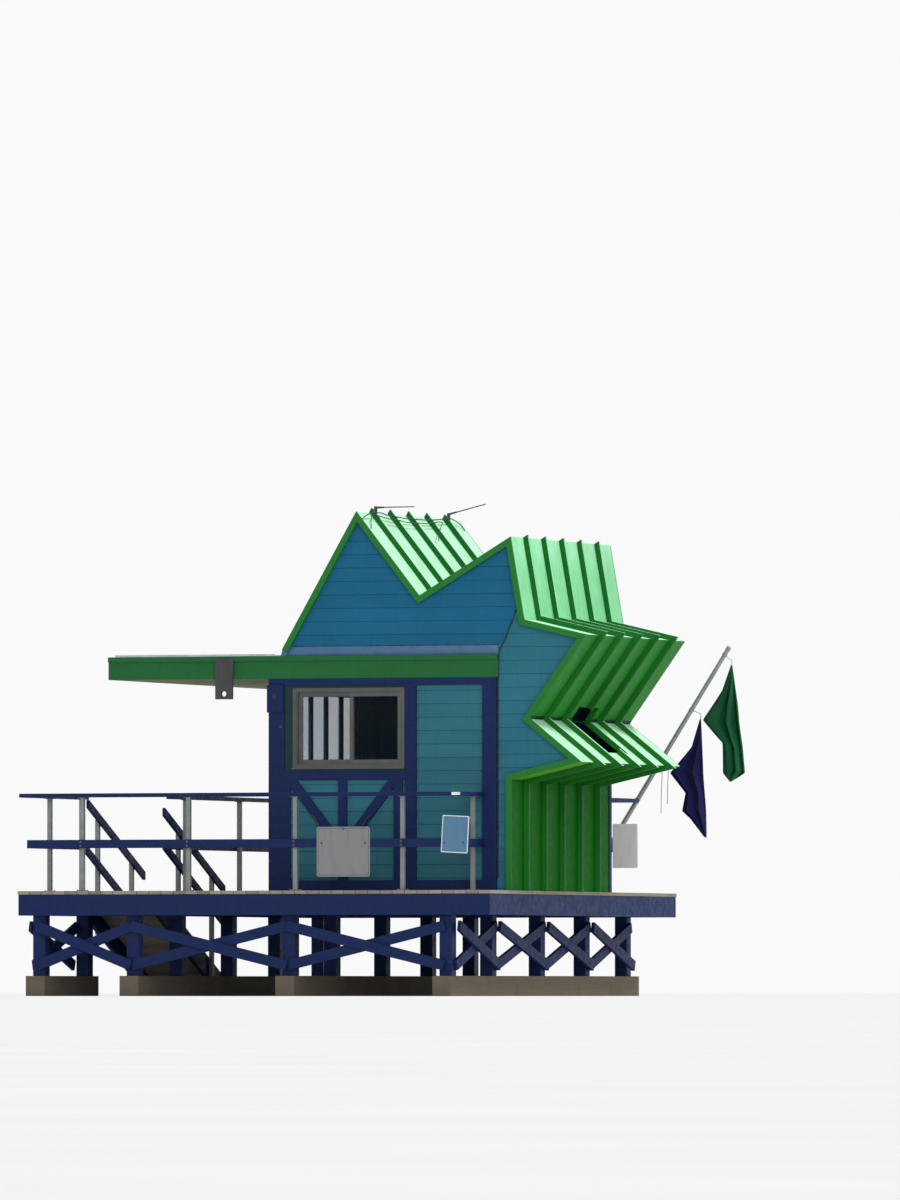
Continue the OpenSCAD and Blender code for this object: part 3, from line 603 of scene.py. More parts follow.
def mitre_off(points, t):
    """An open outline moved out by t, mitred at its corners."""
    vs = [Vector(p) for p in points]
    ns = [Vector((-(b - a).y, (b - a).x)).normalized() for a, b in zip(vs, vs[1:])]
    out = [vs[0] + ns[0] * t]
    for i in range(1, len(vs) - 1):
        m = (ns[i - 1] + ns[i]).normalized()
        out.append(vs[i] + m * (t / m.dot(ns[i])))
    out.append(vs[-1] + ns[-1] * t)
    return [tuple(p) for p in out]


INNER = mitre_off(PROFILE, -CLAD_T - GAP)

# CAD nodes that keep their solids, by material and the width of their softened edges in millimetres
KEPT = {
    ("skid", 4): "skids", ("navy_z", 4): "base_posts", ("navy_z", 3): "hut_framing", ("navy_z", 2): "back_door",
    ("navy_x", 3): "base_braces deck_frame deck_rails", ("navy_y", 3): "ramp_rails", ("steel", 3): "rail_posts",
    ("teal_in_shaded", 2): "front_wall back_wall left_wall",
    ("green", 2): "roof_slope_left roof_slope_right roof_slope_inner upper_wall_panel upper_spike_top"
                  " upper_spike_under lower_spike_top",
    ("green_under_lit", 2): "lower_spike_under", ("green_low_shaded", 2): "lower_wall_panel",
    ("batten", 2): "batten_1 batten_2 batten_3 batten_4 batten_5", ("edge", 3): "front_fascia back_fascia",
    ("fascia", 3): "canopy_fascia", ("roof", 2): "canopy_roof", ("ply", 1.5): "canopy_soffit",
    ("flashing", 1.5): "canopy_flashing", ("raw", 2): "fascia_bracket", ("trim", 2): "window_trim",
    ("glass", 0): "window_glass",
}
for (mat_name, width), names in KEPT.items():
    for node in (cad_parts[name] for name in names.split()):
        node.data.materials.clear()
        node.data.materials.append(M[mat_name])
        if width:
            soften(node, width / 1000, weld=True)


# Siding
def on_front(u, v, w):
    return at(u, WALL_SET - w, v)


def on_back(u, v, w):
    return at(u, HUT_D - WALL_SET + w, v)


def on_left(u, v, w):
    return at(WALL_SET - w, u, v)


def box_outline(u0, v0, u1, v1):
    return [(u0, v0), (u1, v0), (u1, v1), (u0, v1)]


slope = (PROFILE[1][0] - PROFILE[0][0]) / (PROFILE[1][1] - PROFILE[0][1])
gable_left = INNER[0][0] + (FLASH_TOP - INNER[0][1]) * slope
star = [(gable_left, FLASH_TOP)] + INNER[1:]
part = (INNER[3][1] - WIRE_Z) / (INNER[3][1] - INNER[4][1])
seam = (INNER[3][0] + (INNER[4][0] - INNER[3][0]) * part, WIRE_Z)
gable = star[:4] + [seam, WIRE_BEND, (POST_R + 20, FLASH_TOP)]
side = [(POST_R + 1, 0), (POST_R + 1, CANOPY_H), (POST_R + 20, CANOPY_H), (POST_R + 20, FLASH_TOP), WIRE_BEND,
        seam] + INNER[4:]
siding("gable_siding", gable, on_front, "teal_gable", 1)
siding("side_siding", side, on_front, "teal_side", 2)
siding("panel_siding", box_outline(1794, FRAME_FOOT, POST_R - 173, 2344), on_front, "teal_panel", 3,
       first=COURSE_0 - 30)
siding("under_window_siding", box_outline(FRAME_IN, FRAME_FOOT, 1659, WIN_Z0 - 131), on_front, "teal_panel", 4,
       first=COURSE_0 - 30)
back_outline = [(WALL_SET + 150, 0), (WALL_SET + 150, CANOPY_H - 1), (CANOPY_RIGHT, CANOPY_H - 1),
                (CANOPY_RIGHT, CANOPY_TOP + 1), (INNER[0][0] + 2, CANOPY_TOP + 1)] + INNER
door_hole = box_outline(DOOR_X - 60, -1, DOOR_X + DOOR_W + 60, DOOR_H + 60)
siding("back_siding", back_outline, on_back, "teal_side", 5, [door_hole])
win_hole = box_outline(SIDE_Y0 - 45, WIN_Z0 - 45, SIDE_Y1 + 45, WIN_Z1 + 45)
siding("left_siding", box_outline(FRAME_IN, 0, HUT_D - FRAME_IN, CANOPY_H - 1), on_left, "teal_side", 6, [win_hole])


# Boards of the deck, the hut's floor and the ramp
def boards_along_y(piece, x0, x1, count, y0, y1, z0, z1, gap, joints=(), seed=0):
    rnd = random.Random(seed)
    pitch = (x1 - x0) / count
    for i in range(count):
        a, b = x0 + i * pitch + gap / 2, x0 + (i + 1) * pitch - gap / 2
        ends = [y0] + ([joints[i % len(joints)]] if joints else []) + [y1]
        for s, e in zip(ends, ends[1:]):
            drop = rnd.uniform(0, 1.5)
            piece.box((a, s + (2 if s != y0 else 0), z0), (b, e - (2 if e != y1 else 0), z1 - drop),
                      rnd.uniform(-1, 1))


LEFT_BOARDS, BOARDS = 8, 31
deck, screws = Piece(), Piece()
boards_along_y(deck, -DECK_LEFT, SIDE_X, LEFT_BOARDS, -WALK_W, RAMP_Y, -DECK_T, 0, 6, seed=1)
boards_along_y(deck, SIDE_X, DECK_RIGHT, BOARDS, -WALK_W, DECK_END, -DECK_T, 0, 6, ROWS[1:4], seed=2)
deck.object("deck_planks", "deck", "deck_wood", bevel=0.003, replaces=["deck_boards"])
for start, stop, count, rows in ((-DECK_LEFT, SIDE_X, LEFT_BOARDS, ROWS[:2]), (SIDE_X, DECK_RIGHT, BOARDS, ROWS)):
    pitch = (stop - start) / count
    for i in range(count):
        for y in rows:
            for dx in (0.22, 0.78):
                screws.screw(at(start + (i + dx) * pitch, y + (12 if y in ROWS[1:4] else 0), -0.6), (0, 0, 1), 0.005)
screws.object("deck_screws", "bolt", "post_steel")

floor_boards = Piece()
boards_along_y(floor_boards, WALL_SET + WALL_T, BODY_W - CLAD_T - 1, 22, WALL_SET + WALL_T + 1,
               HUT_D - WALL_SET - WALL_T - 1, 0.3, 25.3, 2, (1300, 2100), seed=3)
floor_boards.object("floor_planks", "floor", "deck_wood", bevel=0.0015, replaces=["hut_floor"])

ramp = Piece()
rnd = random.Random(4)
run = DECK_Z / math.tan(RAMP_A)
along = Vector((0, math.cos(RAMP_A), -math.sin(RAMP_A)))
down = Vector((0, -math.sin(RAMP_A), -math.cos(RAMP_A)))
plank, pitch = 141, 147
for i in range(int((DECK_Z / math.sin(RAMP_A) - 120) // pitch)):
    s0 = 24 + i * pitch
    s1 = s0 + plank
    corners = [along * s0, along * s1, along * s1 + down * DECK_T, along * s0 + down * DECK_T]
    ends = [[at(x, RAMP_Y + c.y, c.z) for c in corners] for x in (RAMP_X0, RAMP_X1)]
    ramp.prism(ends[0], ends[1], rnd.uniform(-1, 1))
ramp.object("ramp_planks", "ramp", "deck_wood", bevel=0.003, replaces=["ramp"])
strings = Piece()
up, far = 1 / math.cos(RAMP_A), 1 / math.sin(RAMP_A)
for x in (RAMP_X0, RAMP_X1 - POST_W):
    outline = [(RAMP_Y + 2, -DECK_T * up), (RAMP_Y + run - DECK_T * far, -DECK_Z),
               (RAMP_Y + run - BEAM_H * far, -DECK_Z), (RAMP_Y + 2, -BEAM_H * up)]
    strings.prism([at(x, y, z) for y, z in outline], [at(x + POST_W, y, z) for y, z in outline])
strings.object("ramp_stringers", "navy_y", "navy_paint", bevel=0.003)


# Painted shadow in the lower fold: a dark wedge between the battens and the notch, where the fold lies in shade
fold = Piece()
fold_at, above, below = (Vector(PROFILE[k]) for k in (6, 5, 7))
wedge = [fold_at, fold_at + (above - fold_at).normalized() * 40, fold_at + (below - fold_at).normalized() * 12]
stops = [2]
for y in BATTENS:
    stops += [NOTCH_Y0 - 1, NOTCH_Y1 + 1] if NOTCH_Y0 < y < NOTCH_Y1 else [y - BATTEN_HALF, y + BATTEN_HALF]
stops.append(HUT_D - 2)
for y0, y1 in zip(stops[::2], stops[1::2]):
    fold.extrude([(q.x + 0.4, q.y) for q in wedge], y0, y1)
fold.object("fold_painted_shadow", "painted_shadow", "dark_green_paint")

# Seams and screws of the two slopes without battens
strips, heads = Piece(), Piece()
for k in (0, 2):
    eave, ridge = Vector(PROFILE[k]), Vector(PROFILE[k + 1])
    way = (ridge - eave).normalized()
    out = Vector((-way.y, way.x))
    a, b = eave + way * 60, ridge - way * 40
    steps = round((b - a).length / 290)
    for y in BATTENS:
        for half, h0, h1 in ((24, 0.5, 2.5), (6, 2.5, 15)):
            strips.extrude([a + out * h0, b + out * h0, b + out * h1, a + out * h1], y - half, y + half)
        for i in range(steps + 1):
            q = a.lerp(b, (i + 0.25) / (steps + 0.5)) + out * 2.5
            for dy in (-15, 15):
                heads.screw(at(q.x, y + dy, q.y), (out.x, 0, out.y), 0.005)
strips.object("slope_seams", "edge", "green_paint", bevel=0.001)
heads.object("slope_screws", "bolt", "post_steel")


# Window: outer frame, two sliding sashes, seals and a latch
def ring(piece, y0, y1, x0, x1, inset, w):
    """A mitred frame in the front's plane, inset from x0, x1 and the window's foot and head."""
    outer, inner = (box_outline(x0 + d, WIN_Z0 + d, x1 - d, WIN_Z1 - d) for d in (inset, inset + w))
    for i in range(4):
        j = (i + 1) % 4
        piece.extrude((outer[i], outer[j], inner[j], inner[i]), y0, y1)


# Width of a frame, of a sash's stile, and the meeting stiles' middle
F, STILE = 52, 45
MID = WIN_X + WIN_W / 2 + 22
X1 = WIN_X + WIN_W
frames, seals = Piece(), Piece()
for y0, inset, w in ((10, 0, 16), (16, 16, 20), (30, 36, 16)):
    ring(frames, y0, 110, WIN_X, X1, inset, w)
for y0, x0, x1 in ((68, WIN_X, MID + STILE / 2 + F), (44, MID - STILE / 2 - F, X1)):
    ring(frames, y0, y0 + 24, x0, x1, F, 30)
    ring(frames, y0 + 4, y0 + 20, x0, x1, F + 30, 15)
    ring(seals, y0 + 7, y0 + 17, x0, x1, F + 45, 4)
frames.box((MID - 9, 36, 1830), (MID + 9, 44, 1910))
frames.box((MID - 5, 28, 1862), (MID + 5, 38, 1900))
frames.box((WIN_X - 12, 2, WIN_Z0 - 8), (X1, 22, WIN_Z0 + 6))
ring(seals, 6, 12, WIN_X, X1, -4, 4)
frames.object("window_sashes", "alu", "window_alu", bevel=0.0015, replaces=["window_frame"])
seals.object("window_seals", "black", "rod_steel")


# Side window: deep jambs, thin bars and beads round the panes
side_frame = Piece()
LIGHT, BEAD = 497, 9


def side_ring(x0, x1, y0, z0, y1, z1, w):
    """A rectangular frame in the left wall's plane, with its upright parts between the level ones."""
    for ya, za, yb, zb in ((y0, z0, y1, z0 + w), (y0, z1 - w, y1, z1), (y0, z0 + w, y0 + w, z1 - w),
                           (y1 - w, z0 + w, y1, z1 - w)):
        side_frame.box((x0, ya, za), (x1, yb, zb))


side_ring(WALL_SET - 20, WALL_SET + WALL_T - 10, SIDE_Y0, WIN_Z0, SIDE_Y1, WIN_Z1, F)
for i in range(4):
    y0, y1 = SIDE_Y0 + F + i * LIGHT, SIDE_Y0 + (i + 1) * LIGHT
    if i:
        side_frame.box((58, y0 - F, WIN_Z0 + F), (104, y0, WIN_Z1 - F))
    for x0, x1 in ((72, 79.5), (86.5, 94)):
        side_ring(x0, x1, y0, WIN_Z0 + F, y1, WIN_Z1 - F, BEAD)
side_frame.object("side_window_bars", "bars", "window_alu", bevel=0.0015, replaces=["side_window_frame"])


# Flags: limp cloth in upright folds, hung by an upper corner
def even(points, n):
    """Points at even steps along a polyline."""
    lens = [math.dist(a, b) for a, b in zip(points, points[1:])]
    out, total = [], sum(lens)
    for i in range(n):
        s, k = total * i / (n - 1), 0
        while k < len(lens) - 1 and s > lens[k]:
            s -= lens[k]
            k += 1
        t = min(1, s / lens[k])
        out.append([a + (b - a) * t for a, b in zip(points[k], points[k + 1])])
    return out


def flag(node, top, left, right, seed):
    """Cloth between two edges, given from its top corner; it replaces the node of that name."""
    rows, cols, folds, deepest = 56, 72, 2.4, 70
    rnd = random.Random(seed)
    phase = [rnd.uniform(0, 6.28) for _ in range(4)]
    bm = bmesh.new()
    grid = []
    for i, ((xl, zl), (xr, zr)) in enumerate(zip(even(left, rows), even(right, rows))):
        wide = math.dist((xl, zl), (xr, zr))
        row = []
        for j in range(cols):
            t = j / (cols - 1)
            sway = 0.05 * math.sin(2.2 * t * math.pi + phase[0]) + 0.03 * math.sin(i * 0.09 + phase[1])
            turn = 2 * math.pi * folds * (t + sway)
            amp = min(deepest, 0.56 * wide / folds) * (0.75 + 0.25 * math.sin(3 * t + phase[2]))
            y = amp * math.sin(turn)
            x = xl + (xr - xl) * t + 0.25 * amp * math.sin(2 * turn + phase[3]) * (0 < j < cols - 1)
            z = zl + (zr - zl) * t
            row.append(bm.verts.new(at(top[0] + x, FLAG_Y + y, top[1] + z)))
        grid.append(row)
    for i in range(rows - 1):
        for j in range(cols - 1):
            bm.faces.new((grid[i][j], grid[i][j + 1], grid[i + 1][j + 1], grid[i + 1][j]))
    ob = finish_object(node + "_cloth", bm, node, replaces=[node], smooth=True)


# The plane the flags hang in, and the leaning pole: its foot, the height of its tip and the flags' top corners
FLAG_Y = RAIL_YB + RAIL_W / 2 + GAP + 30
FOOT, TIP, LEAN = (RAIL_XB - 440, 350), 2878, math.radians(32.55)
GREEN_TOP = (FOOT[0] + (TIP - FOOT[1]) * math.tan(LEAN) + 34, TIP - 198)
PURPLE_TOP = (GREEN_TOP[0] - 386, GREEN_TOP[1] - 630)


def pole_at(z):
    """A point of the leaning pole's axis, by its height."""
    return at(FOOT[0] + (z - FOOT[1]) * math.tan(LEAN), FLAG_Y, z)


pole = Piece()
for z0, z1, r0, r1 in ((FOOT[1] - 8, TIP - 10, 0.0295, 0.0255), (TIP - 34, TIP + 6, 0.029, 0.029),
                       (TIP + 6, TIP + 16, 0.029, 0.02), (FOOT[1] - 12, FOOT[1] + 26, 0.0325, 0.0325)):
    pole.rod(pole_at(z0), pole_at(z1), r0, r1, 32)
for z in (MID_Z + 30, MID_Z + 66, RAIL_H - 30, RAIL_H - 8):
    pole.rod(pole_at(z - 8), pole_at(z + 8), 0.0325, 0.0325, 32)
band = FOOT[0] + (MID_Z + MID_W / 2 - FOOT[1]) * math.tan(LEAN)
pole.box((band - 45, RAIL_YB - POST_W / 2, MID_Z + 18), (band + 45, FLAG_Y - 10, MID_Z + MID_W - 18))
for (x, z), dz in ((GREEN_TOP, 118), (PURPLE_TOP, 104)):
    arm = [pole_at(z + dz)] + [at(x + a, FLAG_Y, z + b) for a, b in ((-30, 74), (-4, 62), (8, 36), (0, -4))]
    for q0, q1 in zip(arm, arm[1:]):
        pole.rod(q0, q1, 0.005, n=8)
    pole.rod(pole_at(z + dz - 12), pole_at(z + dz + 12), 0.031, 0.031, 24)
    pole.rod(at(x - 9, FLAG_Y, z - 6), at(x + 9, FLAG_Y, z - 6), 0.006, n=8)
pole.object("flag_staff", "pole", "pole_alu", bevel=0.001, replaces=["flag_pole"])

flag("green_flag", GREEN_TOP,
     [(-6, 0), (-120, -300), (-368, -644), (-230, -800), (-120, -916), (-111, -1267), (-21, -1373)],
     [(8, 0), (45, -300), (88, -606), (130, -960), (152, -1269), (60, -1330), (-10, -1372)], 1)
flag("purple_flag", PURPLE_TOP,
     [(-6, 0), (-110, -330), (-384, -634), (-185, -870), (-222, -1081), (-117, -1175), (40, -1380)],
     [(8, 0), (25, -360), (40, -700), (60, -1000), (70, -1250), (75, -1390), (72, -1399)], 2)

# Block under the canopy with a painted shadow for its socket, thin dark sheets that paint the shade in the gaps
# beside the framing, and the rear corner's board
block = Piece()
block.box((-12, -25, 2038), (184, -0.4, 2352))
block.object("post_block", "navy_z", "navy_paint", bevel=0.003)
# Black sheets and a black disc: painted shade in the block's socket and in the gaps beside the framing.
gap_shadows = Piece()
gap_shadows.box((58, -27, 2194), (98, -24.5, 2250))
gap_shadows.rod(at(78, -24, 2096), at(78, -33, 2096), 0.012, n=6)
gap_shadows.box((1620, -0.8, 1089), (1626, 0.5, 1374))
for za, zb in ((1862, 2165), (1152, 1300)):
    gap_shadows.box((2587, 24, za), (2593.5, 29, zb))
gap_shadows.object("painted_gap_shadows", "black", "rod_steel")
corner = Piece()
corner.box((BODY_W + 0.4, HUT_D - 86, 2), (BODY_W + 12, HUT_D - 2, 1244))
corner.object("back_corner_board", "navy_z", "navy_paint", bevel=0.003)

# Bolts of the framing, hooks on the braces, plates and bolts of the rail posts
BRACE_HI, BRACE_LO = 862, 758
bolts, painted, plates, straps = Piece(), Piece(), Piece(), Piece()
for x in (45, 145, 1712, 1745, POST_R - 130, POST_R - 42):
    for z in (150, 700, 1330, 1880, 2370):
        painted.bolt(at(x, 0, z), (0, -1, 0), 0.007)
for x, z in ((295, 1180), (255, 1245), (1495, 1180), (1540, 1245), (870, 520), (900, 590), (905, 1200), (905, 200)):
    painted.bolt(at(x, 0, z), (0, -1, 0), 0.007)
for xa, xb in ((546, 616), (1234, 1162)):
    straps.rod(at(xa, -10, BRACE_HI), at(xb, -10, BRACE_LO), 0.006, n=10)
    for x, z in ((xa, BRACE_HI), (xb, BRACE_LO)):
        straps.rod(at(x, 2, z), at(x, -16, z), 0.009, n=10)
straps.box((132, -4, 1862), (164, 0, 1892))
posts = [(x, RAIL_Y) for x in range(POST_FIRST, round(RAIL_XL + POST_PITCH / 4), -POST_PITCH)]
posts += [(x, RAIL_YB) for x in range(POST_FIRST, round(RAIL_XS + POST_PITCH / 4), -POST_PITCH)]
posts += [(RAIL_XS, y) for y in (RAMP_Y + 437.5, RAMP_Y + 2187.5, RAMP_Y + 3937.5) if y < RAIL_YB]
posts += [(RAIL_XL, 0), (RAIL_XR, RAIL_Y + 515), (RAIL_XB, HUT_D + 250)]
for x, y in posts:
    plates.box((x - 55, y - 55, 0.4), (x + 55, y + 55, 8))
    plates.box((x - 45, y - 45, RAIL_H - RAIL_T - 6), (x + 45, y + 45, RAIL_H - RAIL_T - 0.4))
    for dx, dy in ((-41, -41), (41, -41), (41, 41), (-41, 41)):
        bolts.bolt(at(x + dx, y + dy, 8), (0, 0, 1), 0.007)
    for dx, dy in ((0, -25), (0, 25)):
        bolts.screw(at(x + dx, y + dy, RAIL_H - 0.5), (0, 0, 1), 0.006)
    for on_rail, wx, wy, out in ((y == RAIL_Y, 0, -1, POST_W / 2 + MID_T + 0.4), (y == RAIL_YB, 0, 1, POST_W / 2),
                                 (x == RAIL_XL, -1, 0, POST_W / 2)):
        for dz in (26, 70):
            if on_rail:
                bolts.bolt(at(x + wx * out, y + wy * out, MID_Z + dz), (wx, wy, 0), 0.008)
plates.object("post_plates", "steel", "post_steel", bevel=0.0015)
straps.object("brace_hooks", "iron", "post_steel")
bolts.object("rail_bolts", "bolt", "post_steel")
painted.object("framing_bolts", "navy_z", "navy_paint")

# Seams of the canopy's sheets and joints of its boarded underside
CANOPY_X0, CANOPY_X1 = WALL_SET - CANOPY_OUT, CANOPY_RIGHT - WALL_SET
seams, joints = Piece(), Piece()
for y in range(90, CANOPY_D, 460):
    right = 40 if y < HUT_D + 30 else CANOPY_X1 - 10
    seams.box((CANOPY_X0 + 8, y, CANOPY_TOP - 0.5), (right, y + 9, CANOPY_TOP + 26))
    seams.box((CANOPY_X0 + 8, y - 14, CANOPY_TOP - 0.5), (right, y + 23, CANOPY_TOP + 2.5))
seams.object("roof_seams", "roof", "roof_sheet", bevel=0.001)
for y in (1240, 2460, 3680, 4900):
    right = -4 if y < HUT_D else CANOPY_X1 - 4
    joints.box((CANOPY_X0 + 4, y - 2.5, CANOPY_H - 0.8), (right, y + 2.5, CANOPY_H + 0.5))
joints.box((-1222.5, WALL_SET + 4, CANOPY_H - 0.8), (-1217.5, CANOPY_D - 50, CANOPY_H + 0.5))
joints.object("soffit_joints", "caulk", "soffit_ply")
heads = Piece()
for y in range(110, CANOPY_D - 60, 300):
    for x in range(-1880, 2240, 406):
        if y > HUT_D + 40 or x < -30:
            heads.screw(at(x, y, CANOPY_H + 0.3), (0, 0, -1), 0.005)
heads.object("soffit_screws", "bolt", "post_steel")

# Boards, hinges and handle of the open door's leaf, and the doorway's lining
leaf, hinge, lining = Piece(), Piece(), Piece()
LX1, LY = DOOR_X - 20, HUT_D - WALL_SET + 52.3
LX0 = LX1 - DOOR_W + 8
FIELDS = ((151, 959), (1081, 1889))
for z0, z1 in ((12, 150), (960, 1080), (1890, 2030)):
    leaf.box((LX0 + 6, LY - 0.3, z0), (LX1 - 6, LY + 20, z1))
for x0, x1 in ((LX0 + 6, LX0 + 100), (LX1 - 100, LX1 - 6)):
    for z0, z1 in FIELDS:
        leaf.box((x0, LY - 0.3, z0), (x1, LY + 20, z1))
w = (LX1 - LX0 - 204) / 5
for i in range(5):
    for z0, z1 in FIELDS:
        leaf.box((LX0 + 102 + i * w, LY - 0.3, z0), (LX0 + 98 + (i + 1) * w, LY + 7, z1))
leaf.object("door_boards", "navy_z", "navy_paint", bevel=0.002)
for z in (165, 1075, 1765):
    hinge.box((LX1 - 150, LY + 20.5, z - 20), (LX1 - 4, LY + 24, z + 20))
    hinge.rod(at(LX1 + 4, LY + 18, z - 45), at(LX1 + 4, LY + 18, z + 45), 0.008, n=14)
    for dx in (30, 75, 120):
        hinge.bolt(at(LX1 - dx - 4, LY + 24, z), (0, 1, 0), 0.005)
for z in (960, 1080):
    hinge.rod(at(LX0 + 52, LY + 20, z), at(LX0 + 52, LY + 44, z), 0.007, n=12)
hinge.rod(at(LX0 + 52, LY + 44, 950), at(LX0 + 52, LY + 44, 1090), 0.009, n=14)
hinge.object("door_ironwork", "iron", "rod_steel", bevel=0.0005)
DOOR_X1 = DOOR_X + DOOR_W
for x, z, b in ((DOOR_X - 12, 26, (DOOR_X, HUT_D - 28, DOOR_H)),
                (DOOR_X1, 26, (DOOR_X1 + 60, HUT_D - 22, DOOR_H + 60)),
                (DOOR_X - 12, DOOR_H, (DOOR_X1, HUT_D - 22, DOOR_H + 60))):
    lining.box((x, HUT_D - WALL_SET + 0.5, z), b)
lining.object("door_casing", "navy_z", "navy_paint", bevel=0.002)

# Old caulk over the flashing, and the wire that runs down beside the folds
caulk = Piece()
rnd = random.Random(11)
x = 300
while x < 2760:
    w = rnd.uniform(24, 70)
    caulk.box((x, WALL_SET - 16, FLASH_TOP - rnd.uniform(2, 9)),
              (x + w + 1, WALL_SET - 3, FLASH_TOP + rnd.uniform(3, 11)))
    x += w
for x, drop in ((507, 40), (824, 30), (1310, 34), (1702, 16), (2240, 24)):
    caulk.box((x - 5, WALL_SET - 15, FLASH_TOP - drop), (x + 5, WALL_SET - 8, FLASH_TOP))
caulk.box((2580, 30, CANOPY_TOP + 2), (2586, WALL_SET - 2, FLASH_TOP))
caulk.object("flashing_caulk", "caulk", "flashing_paint")

wire = Piece()
route = [(2897, 3878), (3018, WIRE_Z), WIRE_BEND, (2788, 2720)] + [(2782, z) for z in (2330, 1700, 900, 140)]
for (xa, za), (xb, zb) in zip(route, route[1:]):
    wire.rod(at(xa, WALL_SET - 16, za), at(xb, WALL_SET - 16, zb), 0.007, n=10)
    n = max(1, round(math.dist((xa, za), (xb, zb)) / 420))
    for i in range(n):
        f = (i + 0.5) / n
        cx, cz = xa + (xb - xa) * f, za + (zb - za) * f
        wire.box((cx - 12, WALL_SET - 20, cz - 6), (cx + 12, WALL_SET - 6, cz + 6))
wire.object("wall_wire", "black", "rod_steel")

# Blank signs on the rails
signs, signs_blue, signs_grey, sign_bolts = Piece(), Piece(), Piece(), Piece()
FRONT_F, BACK_F = (y - POST_W / 2 - MID_T - 2 * GAP for y in (RAIL_Y, RAIL_YB))


def rounded(x0, z0, x1, z1, r):
    """A rectangle with round corners."""
    out, n = [], 5
    for cx, cz, a in ((x1 - r, z1 - r, 0), (x0 + r, z1 - r, 90), (x0 + r, z0 + r, 180), (x1 - r, z0 + r, 270)):
        for k in range(n + 1):
            t = math.radians(a + 90 * k / n)
            out.append((cx + r * math.cos(t), cz + r * math.sin(t)))
    return out


TOP, SHEET = MID_Z + MID_W, 6
GREY_W = 645
GREY_X = POST_FIRST - 373 - GREY_W
edge = Piece()
for piece, inset, r, y0, y1 in ((signs_grey, 0, 30, SHEET, 0), (edge, 16, 22, SHEET + 0.7, SHEET),
                                (signs_grey, 22, 22, SHEET + 0.9, SHEET)):
    piece.extrude(rounded(GREY_X + inset, TOP - 430 + inset, GREY_X + GREY_W - inset, TOP + 137 - inset, r),
                  FRONT_F - y0, FRONT_F - y1)
edge.bolt(at(GREY_X + 322, FRONT_F - 6.5, TOP + 112), (0, -1, 0), 0.009)
edge.object("grey_sign_line", "sign_edge", "sign_sheet")


def tilted(outline):
    """An outline of the blue sign, which hangs a little askew."""
    tilt = math.radians(3)
    x0, z0, c, s = RAIL_XR - 177, TOP - 154, math.cos(tilt), math.sin(tilt)
    return [(x0 + u * c + v * s, z0 - u * s + v * c) for u, v in outline]


BLUE_W, BLUE_H, RIM = 320, 420, 9
signs.extrude(tilted(rounded(0, 0, BLUE_W, BLUE_H, 12)), FRONT_F - SHEET, FRONT_F)
signs_blue.extrude(tilted(rounded(RIM, RIM, BLUE_W - RIM, BLUE_H - RIM, RIM)), FRONT_F - SHEET - 1, FRONT_F - SHEET)
signs.extrude(rounded(RAIL_XB - 211, TOP - 284, RAIL_XB + 99, TOP + 235, 14), BACK_F - SHEET, BACK_F)
signs.extrude(rounded(2512, RAIL_H - 38, 2616, RAIL_H - 6, 4), RAIL_Y - RAIL_W / 2 - 2, RAIL_Y - RAIL_W / 2)
for x, out, size in ((GREY_X + 60, SHEET, 0.008), (GREY_X + 585, SHEET, 0.008), (RAIL_XR - 137, SHEET + 1, 0.007),
                     (RAIL_XR + 93, SHEET + 1, 0.007)):
    sign_bolts.bolt(at(x, FRONT_F - out, TOP - 48), (0, -1, 0), size)
signs.object("white_signs", "sign_white", "sign_sheet", bevel=0.001, replaces=["rail_signs"])
signs_blue.object("blue_sign_face", "sign_blue", "sign_sheet")
signs_grey.object("grey_sign", "sign_grey", "sign_sheet", bevel=0.001)
sign_bolts.object("sign_bolts", "bolt", "post_steel")

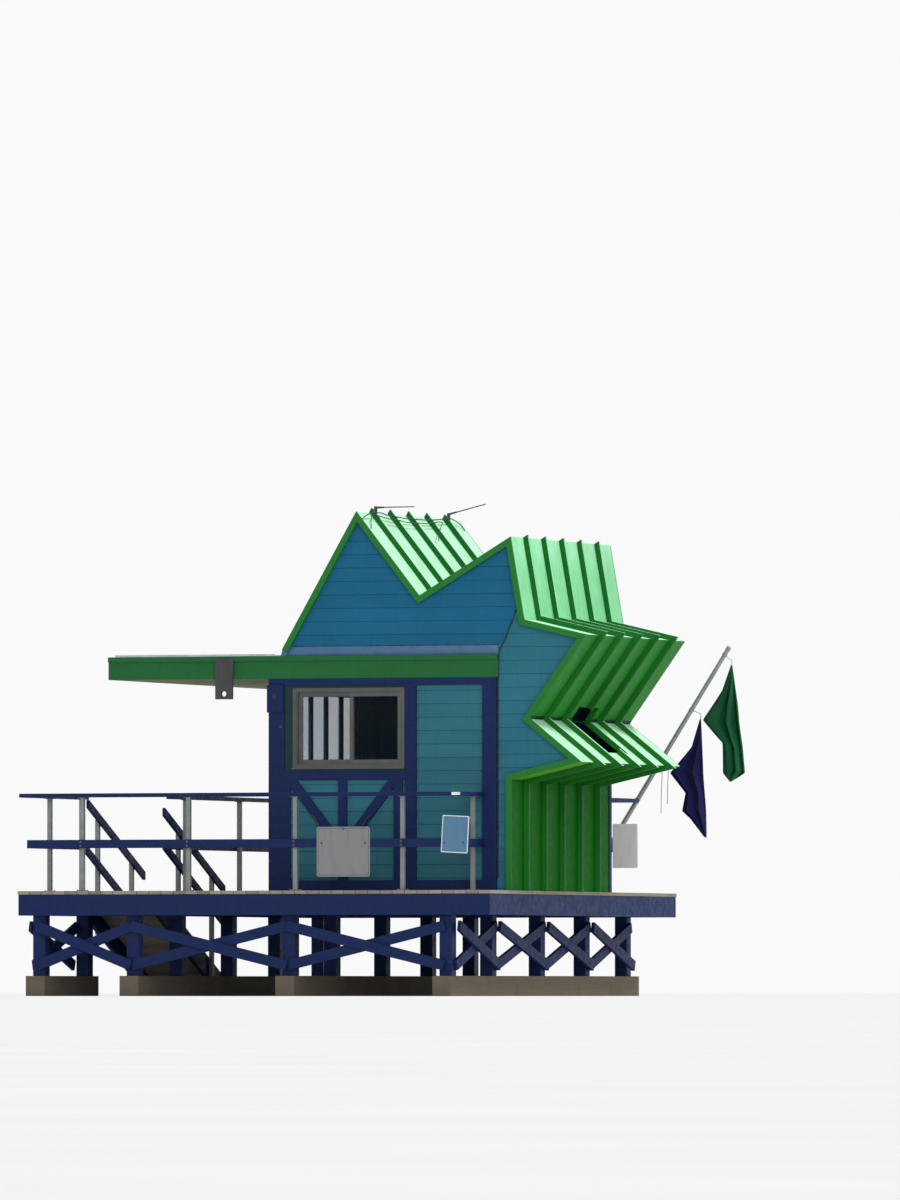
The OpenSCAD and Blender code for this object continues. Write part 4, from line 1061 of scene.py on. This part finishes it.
# Rods on small mounts beside the tips of the first and the last batten of the tall ridge
rods, tape = Piece(), Piece()
near, far = RIDGE_TIP + FALL * 45, RIDGE_TIP + FALL * 95
top = RIDGE_TIP.y + 10
for y, rise in ((BATTENS[0], 0.5), (BATTENS[4], 14)):
    rods.extrude([near, far, (far.x, top), (near.x, top)], y - 15, y + 15)
    way = Vector((math.cos(math.radians(rise)), 0, math.sin(math.radians(rise))))
    foot = at(near.x + 15, y, top - 14)
    rods.rod(foot - way * 0.01, foot + way * 0.055, 0.012)
    rods.rod(foot, foot + way * 0.455, 0.0075, 0.006, 12)
    rods.rod(foot + way * 0.455, foot + way * 0.467, 0.009, 0.006, 12)
    rods.bolt(at(near.x + 15, y - 17, top - 30), (0, -1, 0), 0.007)
    tape.rod(foot + way * 0.06, foot + way * 0.10, 0.0105, 0.0095, 14)
rods.object("ridge_rod_mounts", "iron", "rod_steel", bevel=0.001, replaces=["ridge_rods"])
tape.object("ridge_rod_tape", "black", "rod_steel")


# Floor, lights and the pale surroundings
def make_stage():
    mesh = bpy.data.meshes.new("floor")
    mesh.from_pydata([(-220, -220, 0), (220, -220, 0), (220, 220, 0), (-220, 220, 0)], [], [(0, 1, 2, 3)])
    floor = add("floor", mesh)
    s = Shader("pale_floor")
    grey = s.mix(s.span(s.noise(2, detail=3), 0.3, 0.7), (0.80, 0.80, 0.79, 1), (0.84, 0.84, 0.83, 1))
    mesh.materials.append(s.done(grey, 0.9, Specular_IOR_Level=0.1))
    for name, energy, angle, way in (("key", 2.2, 8, (0.45, 0.1, 0.88)), ("fill", 1.0, 40, (0.45, -0.8, 0.3))):
        lamp = bpy.data.lights.new(name, "SUN")
        lamp.energy = energy
        lamp.angle = math.radians(angle)
        ob = add(name, lamp)
        ob.rotation_euler = Vector(way).to_track_quat("Z", "Y").to_euler()
    world = bpy.data.worlds.new("world")
    bpy.context.scene.world = world
    world.use_nodes = True
    world.node_tree.nodes.clear()
    new, link = world.node_tree.nodes.new, world.node_tree.links.new
    mix = new("ShaderNodeMixShader")
    path = new("ShaderNodeLightPath")
    fac = path.outputs["Is Camera Ray"]
    for kind in ("Is Glossy Ray", "Is Transmission Ray"):
        m = new("ShaderNodeMath")
        m.operation = "MAXIMUM"
        link(fac, m.inputs[0])
        link(path.outputs[kind], m.inputs[1])
        fac = m.outputs[0]
    link(fac, mix.inputs[0])
    # What lights the piece, and what is seen behind it
    for i, colour, strength in ((1, (0.95, 0.97, 1, 1), 0.38), (2, (1, 1, 1, 1), 0.95)):
        shade = new("ShaderNodeBackground")
        shade.inputs[0].default_value = colour
        shade.inputs[1].default_value = strength
        link(shade.outputs[0], mix.inputs[i])
    link(mix.outputs[0], new("ShaderNodeOutputWorld").inputs[0])


make_stage()
bpy.context.scene.view_settings.view_transform = "Standard"
